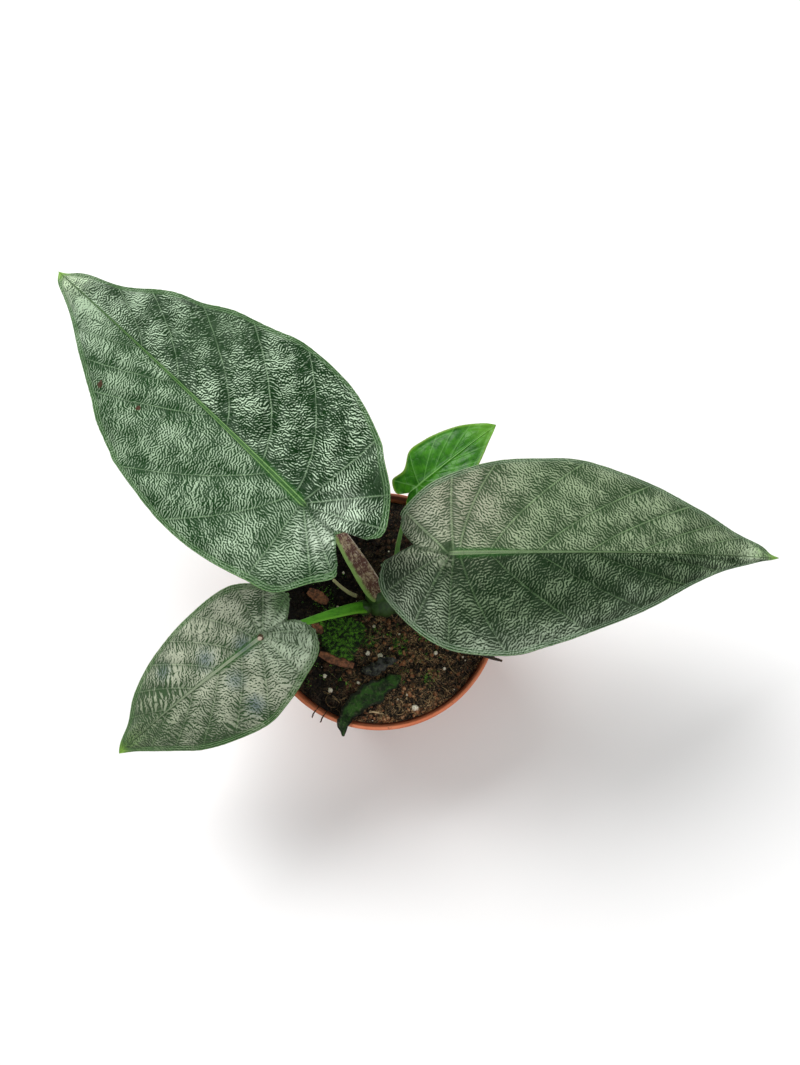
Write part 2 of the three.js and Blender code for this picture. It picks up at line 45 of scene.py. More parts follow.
class Tint:
    """A shader socket that adds its own Math nodes when it is used in a Python expression."""

    def __init__(self, tree, socket):
        self.tree, self.socket = tree, socket

    def _math(self, operation, *values):
        node = self.tree.nodes.new("ShaderNodeMath")
        node.operation = operation
        for i, value in enumerate(values):
            plug(self.tree, node.inputs[i], value)
        return Tint(self.tree, node.outputs[0])

    def __add__(self, other):
        return self._math("ADD", self, other)

    def __sub__(self, other):
        return self._math("SUBTRACT", self, other)

    def __rsub__(self, other):
        return self._math("SUBTRACT", other, self)

    def __mul__(self, other):
        return self._math("MULTIPLY", self, other)

    def __truediv__(self, other):
        return self._math("DIVIDE", self, other)

    def __abs__(self):
        return self._math("ABSOLUTE", self)

    def sine(self):
        return self._math("SINE", self)

    def most(self, other):
        return self._math("MAXIMUM", self, other)

    __radd__, __rmul__ = __add__, __mul__

    def ramp(self, low, high, start=0.0, end=1.0):
        """Goes smoothly from start to end while the value goes from low to high."""
        node = self.tree.nodes.new("ShaderNodeMapRange")
        node.interpolation_type = "SMOOTHSTEP"
        sockets = ("Value", "From Min", "From Max", "To Min", "To Max")
        for name, value in zip(sockets, (self, low, high, start, end)):
            plug(self.tree, node.inputs[name], value)
        return Tint(self.tree, node.outputs[0])


def plug(tree, socket, value):
    """Links a shader value to a socket, or sets the socket to a plain one."""
    if isinstance(value, Tint):
        tree.links.new(value.socket, socket)
    else:
        socket.default_value = value


class Finish:
    """A node material under construction: add nodes, then link what varies to the skin shader."""

    def __init__(self, name, **skin):
        self.material = bpy.data.materials.new(name)
        self.material.use_nodes = True
        self.tree = self.material.node_tree
        self.skin = self.tree.nodes["Principled BSDF"]
        for socket, value in skin.items():
            self.skin.inputs[socket.replace("_", " ")].default_value = value

    def node(self, kind, settings=None, values=None, output=0):
        """Adds one node: its settings are set first, then its sockets get values or links."""
        node = self.tree.nodes.new(kind)
        for name, value in (settings or {}).items():
            setattr(node, name, value)
        for name, value in (values or {}).items():
            plug(self.tree, node.inputs[name], value)
        return Tint(self.tree, node.outputs[output])

    def place(self):
        """Object coordinates in metres."""
        return self.node("ShaderNodeTexCoord", output=3)

    def axis(self, vector, n):
        """One of the three numbers of a vector."""
        return self.node("ShaderNodeSeparateXYZ", None, {"Vector": vector}, output=n)

    def attribute(self, name, output="Fac"):
        return self.node("ShaderNodeAttribute", {"attribute_name": name}, output=output)

    def mix(self, factor, first, second):
        """Colour that goes from the first to the second with the factor."""
        first, second = (end if isinstance(end, Tint) else (*end, 1.0) for end in (first, second))
        return self.node("ShaderNodeMix", {"data_type": "RGBA"}, {0: factor, 6: first, 7: second}, output=2)

    def noise(self, place, scale, detail=3.0, rough=0.55):
        values = {"Vector": place, "Scale": scale, "Detail": detail, "Roughness": rough}
        return self.node("ShaderNodeTexNoise", None, values)

    def bump(self, height, strength, distance):
        values = {"Height": height, "Strength": strength, "Distance": distance}
        return self.node("ShaderNodeBump", None, values)

    def vector(self, operation, values, output=1):
        return self.node("ShaderNodeVectorMath", {"operation": operation}, values, output)

    def cover(self, *pieces, **links):
        """Links what varies to the skin shader and puts the material on the pieces."""
        for socket, value in links.items():
            plug(self.tree, self.skin.inputs[socket.replace("_", " ")], value)
        for piece in pieces:
            piece.data.materials.append(self.material)


def smooth(low, high, x):
    """Smooth step: 0 below low, 1 above high."""
    x = np.clip((x - low) / (high - low), 0, 1)
    return x * x * (3 - 2 * x)


def bell(distance, width):
    """Bell curve: 1 at no distance, falling with its square."""
    return np.exp(-((distance / width) ** 2))


def lumps(x, y, size, seed):
    """Smooth random field from -1 to 1: a seeded lattice with one knot per size, eased between knots."""
    knots = np.random.default_rng(seed).uniform(-1, 1, (128, 128))
    a, b = x / size + 500, y / size + 500
    i, j = np.floor(a).astype(int), np.floor(b).astype(int)
    f, g = a - i, b - j
    f, g = f * f * (3 - 2 * f), g * g * (3 - 2 * g)
    low = knots[i % 128, j % 128] * (1 - f) + knots[(i + 1) % 128, j % 128] * f
    high = knots[i % 128, (j + 1) % 128] * (1 - f) + knots[(i + 1) % 128, (j + 1) % 128] * f
    return low * (1 - g) + high * g


def cells(x, y, size, seed):
    """Cell pattern: one seeded middle in each square of a grid. Returns the distance to the nearest middle
    and how much farther the second nearest is, both in the units of x, which is 0 on a cell's border."""
    shift = np.random.default_rng(seed).uniform(-0.38, 0.38, (64, 64, 2))
    i, j = np.floor(x / size).astype(int), np.floor(y / size).astype(int)
    away = []
    for di in (-1, 0, 1):
        for dj in (-1, 0, 1):
            a, b = i + di, j + dj
            move = shift[a % 64, b % 64]
            middle_x, middle_y = a + 0.5 + move[..., 0], b + 0.5 + move[..., 1]
            away.append(np.hypot(x - middle_x * size, y - middle_y * size))
    near = np.sort(np.stack(away), 0)
    return near[0], near[1] - near[0]


def spline(points, w):
    """Uniform Catmull-Rom curve through the points; w counts points from 0."""
    points = np.asarray(points, float)
    padded = np.vstack([2 * points[0] - points[1], points, 2 * points[-1] - points[-2]])
    w = np.clip(w, 0, len(points) - 1)
    i = np.minimum(w.astype(int), len(points) - 2)
    f = (w - i)[..., None]
    a, b, c, d = padded[i], padded[i + 1], padded[i + 2], padded[i + 3]
    return 0.5 * (2 * b + (c - a) * f + (2 * a - 5 * b + 4 * c - d) * f**2 + (3 * b - a - 3 * c + d) * f**3)


def new_piece(name, points, faces):
    """New object at the origin with the given points in metres and its faces smooth shaded."""
    mesh = bpy.data.meshes.new(name)
    mesh.from_pydata(points.tolist(), [], faces.tolist() if isinstance(faces, np.ndarray) else faces)
    mesh.validate()
    mesh.polygons.foreach_set("use_smooth", np.ones(len(mesh.polygons), bool))
    piece = bpy.data.objects.new(name, mesh)
    bpy.context.collection.objects.link(piece)
    return piece


def skin_faces(rows, around):
    """Faces of a closed skin whose points are one end, rows of points around it, and the other end."""
    i, j = np.meshgrid(np.arange(rows - 1), np.arange(around), indexing="ij")
    k = (j + 1) % around
    low, high = 1 + i * around, 1 + (i + 1) * around
    quads = np.stack([low + j, low + k, high + k, high + j], -1).reshape(-1, 4)
    j, k = j[0], k[0]
    last_row, end = 1 + (rows - 1) * around, 1 + rows * around
    caps = [np.stack([0 * j, 1 + k, 1 + j], -1), np.stack([0 * j + end, last_row + j, last_row + k], -1)]
    return quads.tolist() + np.concatenate(caps).tolist()


def mark(piece, name, values):
    """Stores one number, or one vector, for each point of a piece."""
    values = np.asarray(values, float)
    kind, field = ("FLOAT", "value") if values.ndim == 1 else ("FLOAT_VECTOR", "vector")
    piece.data.attributes.new(name, kind, "POINT").data.foreach_set(field, values.ravel())


def fit(piece, node=None):
    """The piece rides on the one body and stands for its node, whose imported part it hides."""
    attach(piece, "root")
    if node:
        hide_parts(node)


# Lengths in millimetres, angles in degrees. Notch and tip are places along and across the blade; the other
# pairs are for its left and right side. A dent is a place, a width and a depth. A rib is its start on the
# midrib, its left end along and across, its right end along and across, and the sides with a vein.
BLADES = {
    "blade_large": dict(
        at=(-26.5, 27.4, 224), heading=135, pitch=0, droop=24, length=170, tuck=25, lobe=35,
        fold=(4, 4), arch=0.001, notch=(-19.5, -0.5), tip=(173, 0), bow=(0.14, 0.27),
        wave=(0.9, 1.5), waves=0.37, blister=(0.2, 0.55), cobble=(0.6, 1.7), cell=9.5,
        step=0.62, columns=70, dents=[(-3.0, 0.0, 1.6, 0.6)],
        ribs=[
            (-16, -25, 4.5, -22.5, -4.6, ""), (-12, -30, 8, -31, -9, ""), (-3, -32, 12.5, -33, -17, "LR"),
            (-1, -27, 20.7, -24, -29, "LR"), (-0.5, -19, 34, -11.5, -37, ""), (0, -6, 39, -2, -43, "LR"),
            (2, 16, 45, 22, -50.5, ""), (4.5, 40, 47, 50, -50.5, "LR"), (18, 71, 43.5, 66, -47, "L"),
            (24, 79, 41.5, 78, -43, "R"), (36, 92, 37, 91, -38.5, ""), (46, 101, 32.5, 103, -33.5, "R"),
            (55, 109, 29, 112, -29.5, "L"), (78, 124, 21.5, 126, -22.5, "LR"),
            (103, 140, 14, 142, -13.5, "LR"), (128, 155, 8, 156, -8, ""), (150, 166, 4, 167, -3.5, ""),
        ],
    ),
    "blade_right": dict(
        at=(36.9, 12.5, 188), heading=1.6, pitch=-4, droop=23, length=155, tuck=30, lobe=35,
        fold=(11, 13), arch=0.0015, notch=(-18, 4.5), tip=(159, 0.5), bow=(0.17, 0.14),
        wave=(0.7, 0.9), waves=0.41, blister=(0.15, 0.3), cobble=(0.3, 0.7), cell=8.0,
        step=0.62, columns=64,
        dents=[(-2.4, 2.0, 2.2, 1.6), (-5.0, -3.0, 2.4, -1.2), (-8.0, 6.5, 3.2, -0.8)],
        ribs=[
            (-14, -24, 12, -27.5, 1, ""), (-8, -25, 17, -34, -4, ""), (-3, -23.5, 22, -35, -16, "LR"),
            (-1.5, -12, 33, -22, -31, "R"), (-0.5, 1, 38.5, -4, -41, "LR"), (2, 23, 44.5, 24, -44, "LR"),
            (8, 45, 46, 42, -40.5, ""), (15, 66, 44.5, 62, -34.5, "LR"), (36, 98, 34, 88, -25, "LR"),
            (60, 116, 24, 110, -14, "LR"), (84, 130, 16, 127, -7, "LR"), (106, 141, 10, 141, -3.4, "LR"),
            (126, 150, 5.5, 150, -1.2, ""), (143, 155, 2.5, 155, -0.5, ""),
        ],
    ),
    "blade_left": dict(
        at=(-53, -18.9, 146), heading=-145, pitch=-12, droop=24, length=99, tuck=30, lobe=25,
        fold=(10, 12), arch=0.002, notch=(-14.5, 0.5), tip=(100.6, 0), bow=(0.14, 0.14),
        wave=(0.7, 0.8), waves=0.43, blister=(0.15, 0.2), cobble=(0.3, 0.3), cell=7.0,
        step=0.55, columns=50, dents=[(-0.5, 0.0, 1.4, 0.5), (-5.4, -14.8, 6.0, 0.9)],
        ribs=[
            (-10, -20, 4.5, -19, -4, ""), (-3, -24, 12, -22.5, -11, "LR"),
            (-1, -18, 21.5, -15, -21.5, "LR"), (0, -5, 27, -2, -29.5, "LR"), (1, 10, 32, 12, -32, ""),
            (2, 24, 34, 27, -31.5, "LR"), (12, 43, 30.5, 45, -28.5, "LR"), (26, 60, 24.5, 61, -25, "LR"),
            (42, 73, 16.5, 74, -18, "LR"), (60, 84, 9, 85, -10, "LR"), (76, 92, 4.5, 93, -5, ""),
        ],
    ),
    "blade_young": dict(
        at=(20.9, 52.7, 150), heading=36.7, pitch=14, droop=12, length=46, tuck=20, lobe=14,
        fold=(-6, -6), arch=0.002, notch=(-6.5, 0), tip=(46, 0), bow=(0.14, 0.14),
        wave=(0.4, 0.4), waves=0.45, blister=(0, 0), cobble=(0.1, 0.1), cell=4.5,
        step=0.45, columns=34, dents=[(-1.5, 0.0, 1.6, 0.8)],
        ribs=[
            (-4, -11.5, 4, -11.5, -4, ""), (-1.5, -9, 10, -9, -10, "LR"),
            (-0.5, -1.5, 10, -1.5, -10.5, ""), (0, 6, 15.5, 6, -15, "LR"), (1.5, 14, 15.2, 14, -15.2, ""),
            (3, 22, 13.8, 22, -13, "LR"), (9, 30, 11, 30, -9.2, "LR"), (18, 37, 7.5, 37, -5.2, "LR"),
            (29, 42, 4, 42, -2.5, ""),
        ],
    ),
}
BLADE_THICKNESS = 1.0
EDGE_THICKNESS = 0.7
QUILT = 0.075
MIDRIB_RISE = 0.55
VEIN_RISE = 0.3
RIM_FURROW = 0.35
UNDER_COLUMNS = 24


def blade_plane(blade, along, across, lift):
    """The bent plane: a circular arc along the midrib that droops ahead of the petiole and tucks down
    behind it, a roof fold on each side of the midrib that grows with the distance, and lift over it."""
    start = math.radians(blade["pitch"])
    droop, tuck = math.radians(blade["droop"]), math.radians(blade["tuck"])
    curl = np.where(along > 0, droop / blade["length"], tuck / blade["lobe"])
    angle = start - curl * along
    out = (math.sin(start) - np.sin(angle)) / curl
    rise = (np.cos(angle) - math.cos(start)) / curl
    share = 1 / (1 + np.exp(-across / 4))
    fold = np.radians(share * blade["fold"][0] + (1 - share) * blade["fold"][1])
    height = lift - np.tan(fold) * (np.sqrt(across**2 + 9) - 3) - blade["arch"] * across**2
    cos, sin = math.cos(math.radians(blade["heading"])), math.sin(math.radians(blade["heading"]))
    return np.stack([
        blade["at"][0] + out * cos - across * sin - height * cos * np.sin(angle),
        blade["at"][1] + out * sin + across * cos - height * sin * np.sin(angle),
        blade["at"][2] + rise + height * np.cos(angle),
    ], -1)


def blade_row(blade, side, w, u):
    """Place along and across the blade: a quadratic curve from the midrib to the margin, bowed toward
    the base."""
    pick = 1 if side == 0 else 3
    first, last = blade["notch"], blade["tip"]
    ends = [(first[0], first[0], first[1])]
    ends += [(rib[0], rib[pick], rib[pick + 1]) for rib in blade["ribs"]]
    ends += [(last[0], last[0], last[1])]
    end = spline(ends, w)
    start = end[..., 0]
    middle = np.where(start < 0, first[1] * (start / first[0]) ** 2, last[1] * (start / last[0]) ** 2)
    reach = np.hypot(end[..., 1] - start, end[..., 2] - middle)
    bend = blade["bow"][side] * reach * np.clip((end[..., 1] + 10) / 40, 0, 1)
    along = (1 - u) ** 2 * start + 2 * u * (1 - u) * ((start + end[..., 1]) / 2 - bend) + u**2 * end[..., 1]
    across = (1 - u) ** 2 * middle + u * (1 - u) * (middle + end[..., 2]) + u**2 * end[..., 2]
    return along, across


def blade_relief(blade, side, w, u):
    """Height over the bent plane: pillows between the veins, raised veins and midrib, the furrow inside
    the margin, waves that grow toward it, and blisters. Also the distances that the finish needs."""
    count = len(blade["ribs"]) + 1
    along, across = blade_row(blade, side, w, u)
    root_along, root_across = blade_row(blade, side, w, 0 * u)
    edge_along, edge_across = blade_row(blade, side, w, 0 * u + 1)
    before = blade_row(blade, side, np.maximum(w - 0.5, 0), u)
    after = blade_row(blade, side, np.minimum(w + 0.5, count), u)
    spacing = np.hypot(before[0] - after[0], before[1] - after[1])
    letter = "LR"[side]
    veins = np.array([0] + [i + 1 for i, rib in enumerate(blade["ribs"]) if letter in rib[5]] + [count])
    high_at = np.clip(np.searchsorted(veins, w, side="right"), 1, len(veins) - 1)
    low, high = veins[high_at - 1], veins[high_at]
    share = np.clip((w - low) / (high - low), 0, 1)
    reach = np.hypot(along - root_along, across - root_across)
    to_edge = np.hypot(along - edge_along, across - edge_across)
    inner = (1 - bell(reach, 9)) * smooth(1, 9, to_edge)
    pillow = QUILT * np.minimum(spacing * (high - low), 26) * np.sin(np.pi * share) * inner
    to_vein = np.minimum(w - low, high - w) * spacing
    real = ((low > 0) | (w - low > high - w)) & ((high < count) | (w - low < high - w))
    to_vein = np.where(real, to_vein, 30.0)
    vein = VEIN_RISE * bell(to_vein, 0.8) * smooth(1, 8, to_edge) * smooth(0.5, 5, reach)
    midrib = MIDRIB_RISE * bell(reach, 1.5) * smooth(0, 12, blade["tip"][0] - root_along)
    furrow = -RIM_FURROW * bell(to_edge - 2.8, 1.1)
    wave = blade["wave"][side] * u**4 * np.sin(2 * np.pi * blade["waves"] * w + 2.1 * side)
    blister = (
        blade["blister"][side] * inner * np.sin(along / 2.6 + 1.4 * np.sin(across / 6))
        * np.sin(across / 2.9 + 1.2 * np.sin(along / 8))
    )
    warp_along = along + 1.3 * lumps(along, across, 4.0, 21) + 2.5 * lumps(along, across, 13.0, 22)
    warp_across = across + 1.3 * lumps(along, across, 4.0, 23) + 2.5 * lumps(along, across, 13.0, 24)
    from_middle, to_border = cells(warp_along + 300, warp_across + 300, blade["cell"], 25)
    cobble = blade["cobble"][side] * inner * (0.5 - (from_middle / (0.62 * blade["cell"])) ** 2)
    lift = pillow + vein + midrib + furrow + wave + blister + cobble
    for dent_along, dent_across, wide, deep in blade["dents"]:
        lift = lift - deep * bell(np.hypot(along - dent_along, across - dent_across), wide)
    return along, across, lift, midrib, reach, to_edge, to_vein, share, to_border


def blade_tear(blade, side, w):
    """Share of the row by which the margin is nibbled: shallow notches, deepest round the sinus."""
    deep = 0.002 + 0.07 * (1 - smooth(1.5, 3.0, w)) * (blade["length"] > 60)
    return deep * np.clip(0.5 + lumps(w * 9.0, 7.0 * side + 0 * w, 0.8, 31), 0, 1)


def blade_rows(blade):
    """Row positions: every rib is a row, and the rows between are about one step apart at mid blade."""
    count = len(blade["ribs"]) + 1
    rows = [0.0]
    for i in range(count):
        w = np.linspace(i, i + 1, 9)
        lengths = []
        for side in (0, 1):
            for u in (0.15, 0.7):
                along, across = blade_row(blade, side, w, np.full(9, u))
                lengths.append(np.hypot(np.diff(along), np.diff(across)).sum())
        parts = max(2, int(round(max(lengths) / blade["step"])))
        rows += list(i + np.arange(1, parts + 1) / parts)
    return np.array(rows)


def blade_piece(name, blade):
    """Top face, rim and underside on shared rows; the two end rows close to single points."""
    inner_rows = blade_rows(blade)[1:-1]

    def face(columns, under):
        """Places and marks of one face, from the left margin over the midrib to the right margin."""
        out = []
        for side, shares in enumerate((columns[:0:-1], columns)):
            w, u = np.meshgrid(inner_rows, shares, indexing="ij")
            ragged = u * (1 - blade_tear(blade, side, w))
            relief = blade_relief(blade, side, w, ragged)
            along, across, lift, midrib, reach, to_edge, to_vein, share, to_border = relief
            edge = smooth(0.8, 1, u)
            depth = BLADE_THICKNESS + (EDGE_THICKNESS - BLADE_THICKNESS) * edge + 0.8 * midrib
            depth = depth + 0.5 * VEIN_RISE * bell(to_vein, 1.0)
            place = blade_plane(blade, along, across, lift - under * depth)
            turn = row_turn(blade, side, w, u)
            marks = [along, across, reach, to_edge, to_vein, turn, 0 * u + under, share, to_border]
            out.append(np.concatenate([place, np.stack(marks, -1)], -1))
        return np.concatenate(out, 1)

    # More columns stand beside the midrib, for its round top. The underside needs fewer in all.
    fine = np.linspace(0, 1, blade["columns"] + 1)
    fine = np.sort(np.concatenate([fine, [0.35 / blade["columns"], 0.7 / blade["columns"]]]))
    coarse = np.concatenate([np.linspace(0, 0.9, UNDER_COLUMNS), [0.96, 1.0]])
    coarse = np.sort(np.concatenate([coarse, [0.03]]))
    top = face(fine, 0.0)
    under = face(coarse, 1.0)[:, ::-1]
    rim_left, rim_right = (top[:, 0] + under[:, -1]) / 2, (top[:, -1] + under[:, 0]) / 2
    ring = np.concatenate([top, rim_right[:, None], under, rim_left[:, None]], 1)
    # The notch and the tip are single points, and their marks are those of the midrib and the margin.
    ends = []
    for end in (blade["notch"], blade["tip"]):
        place = blade_plane(blade, np.array(end[0]), np.array(end[1]), np.array(-0.4))
        ends.append(np.concatenate([place, [end[0], end[1], 0, 0, 30, np.pi / 2, 0, 0, 5]]))
    table = np.concatenate([ends[0][None], ring.reshape(-1, ring.shape[-1]), ends[1][None]])
    piece = new_piece(name + "_skin", table[:, :3] * MM, skin_faces(*ring.shape[:2]))
    mark(piece, "flat", np.column_stack([table[:, 3], table[:, 4], 0 * table[:, 3]]))
    for n, label in enumerate(("ribmm", "edgemm", "veinmm", "lay", "under", "pillow", "cellmm")):
        mark(piece, label, table[:, 5 + n])
    return piece


def row_turn(blade, side, w, u):
    """Direction of the row in the flat blade as an angle from 0 to pi, upright at the midrib."""
    a = blade_row(blade, side, w, np.maximum(u - 0.01, 0))
    b = blade_row(blade, side, w, np.minimum(u + 0.01, 1))
    turn = np.arctan2(b[1] - a[1], b[0] - a[0])
    turn = np.where(side == 1, turn + np.pi, turn)
    return np.where(u < 1e-6, np.pi / 2, turn)


def velvet(piece, look):
    """Velvety blade. Each side has a ridge colour, a valley colour, the share of valley in its crinkled net
    and how clear its veins are; the pale ridges stand in part for painted glints, and where the sides differ
    the paler side is painted reflection of the light and the darker side painted shade. The net is a fine
    and a coarse
    Gabor wave that run across the veins; paler veins with flanks of painted shade, dark cell borders,
    patches of painted sheen and painted shade, dead spots, a banded margin and a paler back go over it."""
    finish = Finish(piece.name.replace("skin", "velvet"), Specular_IOR_Level=0.12)
    flat = finish.attribute("flat", "Vector")
    rib, edge = finish.attribute("ribmm"), finish.attribute("edgemm")
    vein, lay = finish.attribute("veinmm"), finish.attribute("lay")
    under, border = finish.attribute("under"), finish.attribute("cellmm")
    along = finish.axis(flat, 0)
    across = finish.axis(flat, 1)
    wobble = finish.noise(flat, 0.7, 2.0)

    def near(s, t, wide):
        """1 at a place on the blade, falling to 0 at the width, with an uneven edge."""
        away = finish.vector("DISTANCE", {0: flat, 1: (s, t, 0.0)})
        return (away + (wobble - 0.5) * wide * 0.8).ramp(0.0, wide, 1.0, 0.0)

    def wave(scale, spacing, straight):
        """Gabor wave of a given spacing; the straighter it is, the longer its ridges run."""
        values = {
            "Vector": flat, "Scale": scale, "Frequency": 1.0 / (scale * spacing),
            "Anisotropy": straight, "Orientation": turn,
        }
        return finish.node("ShaderNodeTexGabor", {"gabor_type": "2D"}, values)

    side = (across + (wobble - 0.5) * 3.0).ramp(-1.5, 1.5)
    pillow = finish.attribute("pillow")
    drift = finish.noise(flat, 0.2, 3.0, 0.6)
    turn = lay + (drift - 0.5) * 2.8 + (pillow - 0.5) * (side * 2.0 - 1.0)
    # Net: the fine wave gives way to the coarse one in folds; spots of painted shade cut its valleys wider,
    # and spots of painted light cut them narrower.
    near_vein = vein.ramp(1.0, 6.0, 1.0, 0.0)
    straight = near_vein * (0.95 - look["dots"]) + look["dots"]
    folded = finish.noise(flat, 0.06, 2.0).ramp(0.40, 0.62) * 0.25 + look["crease"]
    for s, t, wide, amount in look["creases"]:
        folded = folded + near(s, t, wide) * amount
    fine, coarse = wave(0.45, look["spacing"], straight), wave(0.26, look["spacing"] * 2.1, 0.92)
    grain = finish.noise(flat, 2.2, 3.0, 0.6)
    net = fine * (1.0 - folded) + coarse * folded + (grain - 0.5) * 0.28
    # Painted light and shade on the pillows: crests get more pale ridge, as if lit, and slow patches darken
    # the net in some places and brighten it in others, as painted sheen.
    crest = pillow * (1 - pillow) * 4.0
    patch = finish.noise(flat, 0.075, 4.0, 0.6).ramp(0.34, 0.66)
    left, right = look["left"], look["right"]
    cut = side * (left[2] - right[2]) + right[2] + (patch - 0.5) * 0.08 - (crest - 0.6) * 0.05
    for s, t, wide, amount in look["light_and_shade_spots"]:
        cut = cut + near(s, t, wide) * amount
    clear = side * (left[3] - right[3]) + right[3]
    ridge = (net - cut).ramp(-0.05, 0.065)
    # Colour of ridges and valleys, recoloured by tints, the pale ones painted sheen and the dark ones
    # painted shade; the ridges are dulled as painted shade in patches and beside the veins; then the dark
    # borders of the cells.
    high, low = finish.mix(side, right[0], left[0]), finish.mix(side, right[1], left[1])
    for s, t, wide, amount, overlay in look["tints"]:
        strength = near(s, t, wide) * amount
        high, low = finish.mix(strength, high, overlay), finish.mix(strength * 0.08, low, overlay)
    dull = finish.mix(0.6, high, low)
    bright = finish.mix((patch * 0.8 - crest * 0.25).most(0.0), high, dull)
    bright = finish.mix(vein.ramp(0.5, 4.5, 0.25, 0.0), bright, dull)
    colour = finish.mix(ridge, low, bright)
    colour = finish.mix(border.ramp(0.05, 0.5, 0.85, 0.0) * drift.ramp(0.35, 0.55), colour, low)
    # Lateral veins with flanks darkened as painted shade, and the midrib with painted shade beside it, its
    # strands and the green that spreads from it.
    shy_vein = vein + (wobble - 0.5) * 0.3
    trough = shy_vein.ramp(0.45, 0.75, 0.0, 1.0) * shy_vein.ramp(0.75, 1.5, 1.0, 0.0)
    colour = finish.mix(trough * (clear * 0.6 + 0.1), colour, low)
    line = shy_vein.ramp(0.2, look["vein_width"], 1.0, 0.0)
    vein_colour = finish.mix(0.45, high, (0.12, 0.25, 0.08))
    faint = finish.noise(flat, 0.13, 3.0).ramp(0.38, 0.6, 0.45, 1.0)
    colour = finish.mix(line * clear * faint, colour, vein_colour)
    width = along.ramp(0.0, look["tip"], look["rib_width"], 0.45)
    beside = rib / width + (wobble - 0.5) * 0.3
    colour = finish.mix(beside.ramp(1.2, 3.4, 0.6, 0.0), colour, low)
    sprout = along.ramp(-1.0, 2.0) * along.ramp(12.0, 42.0, 1.0, 0.0) * rib.ramp(1.0, 3.6, 1.0, 0.0)
    colour = finish.mix(sprout * 0.6, colour, (0.022, 0.105, 0.014))
    band = beside.ramp(0.95, 1.2, 1.0, 0.0) * along.ramp(-4.0, 0.5)
    strands = (beside * 6.3 + 3.1).sine().ramp(-0.2, 0.75)
    rib_colour = finish.mix(strands, (0.024, 0.080, 0.013), (0.150, 0.275, 0.090))
    rib_colour = finish.mix(look["rib_green"], high, rib_colour)
    colour = finish.mix(band * 0.9, colour, rib_colour)
    # Banded margin, fresh tip, dead spots and the paler back.
    uneven = edge + (wobble - 0.5) * 0.6
    stripes = (uneven * 5.4).sine().ramp(-0.7, 0.8)
    rim_band = uneven.ramp(look["rim"] - 1.4, look["rim"], 1.0, 0.0)
    rim_colour = finish.mix(stripes, (0.012, 0.060, 0.008), look["rim_light"])
    colour = finish.mix(rim_band * (drift * 0.9 + 0.15), colour, rim_colour)
    margin_colour = finish.mix(0.5, look["rim_light"], (0.15, 0.31, 0.085))
    colour = finish.mix(uneven.ramp(0.15, 0.8, 0.8, 0.0), colour, margin_colour)
    fresh = along.ramp(look["tip"] - 8.0, look["tip"] - 1.0)
    colour = finish.mix(fresh * 0.9, colour, (0.22, 0.42, 0.06))
    for s, t, wide, overlay in look["scars"]:
        colour = finish.mix(near(s, t, wide).ramp(0.2, 0.5) * 0.9, colour, overlay)
    back = finish.mix(line.most(band) * 0.8, (0.15, 0.24, 0.11), (0.28, 0.40, 0.18))
    back = finish.mix(finish.noise(flat, 0.5, 4.0) * 0.4, back, (0.10, 0.17, 0.07))
    colour = finish.mix(under, colour, back)
    height = (ridge * 0.8 + net * 0.4) * (1 - under * 0.85) * (1 - band) + line * 0.5
    height = height + stripes * rim_band * 0.5 + strands * band * 0.5 - border.ramp(0.0, 0.8, 0.6, 0.0)
    bump = finish.bump(height, 1.0, 0.0003)
    finish.cover(piece, Base_Color=colour, Roughness=0.5 - ridge * 0.14, Normal=bump)


def fresh_leaf(piece, tip_at):
    """Young blade: smooth glossy green with lighter veins, a yellowish margin and a light tip."""
    finish = Finish(piece.name.replace("skin", "fresh"), Specular_IOR_Level=0.18)
    flat = finish.attribute("flat", "Vector")
    rib, edge = finish.attribute("ribmm"), finish.attribute("edgemm")
    vein, under, border = finish.attribute("veinmm"), finish.attribute("under"), finish.attribute("cellmm")
    along = finish.axis(flat, 0)
    cloud, grain = finish.noise(flat, 0.16, 4.0, 0.6), finish.noise(flat, 2.4, 3.0, 0.6)
    colour = finish.mix(cloud.ramp(0.36, 0.66), (0.012, 0.095, 0.002), (0.040, 0.185, 0.006))
    colour = finish.mix(grain.ramp(0.5, 0.8) * 0.3, colour, (0.07, 0.24, 0.025))
    colour = finish.mix(border.ramp(0.1, 0.6, 0.35, 0.0), colour, (0.012, 0.06, 0.005))
    colour = finish.mix(vein.ramp(0.1, 0.45, 0.6, 0.0), colour, (0.11, 0.28, 0.06))
    colour = finish.mix(rib.ramp(0.2, 0.6, 0.85, 0.0), colour, (0.17, 0.36, 0.10))
    colour = finish.mix(edge.ramp(0.2, 1.8, 0.8, 0.0), colour, (0.15, 0.27, 0.03))
    colour = finish.mix(along.ramp(tip_at - 16.0, tip_at - 4.0) * 0.6, colour, (0.11, 0.29, 0.025))
    back = finish.mix(vein.ramp(0.3, 1.0, 0.6, 0.0), (0.12, 0.30, 0.06), (0.24, 0.46, 0.14))
    colour = finish.mix(under, colour, back)
    height = grain * 0.5 - border.ramp(0.0, 0.8, 0.5, 0.0)
    bump = finish.bump(height, 0.7, 0.00016)
    finish.cover(piece, Base_Color=colour, Roughness=0.25 + grain * 0.25, Normal=bump)


BLUISH, BROWN, PALE = (0.080, 0.125, 0.145), (0.055, 0.020, 0.010), (0.62, 0.50, 0.40)
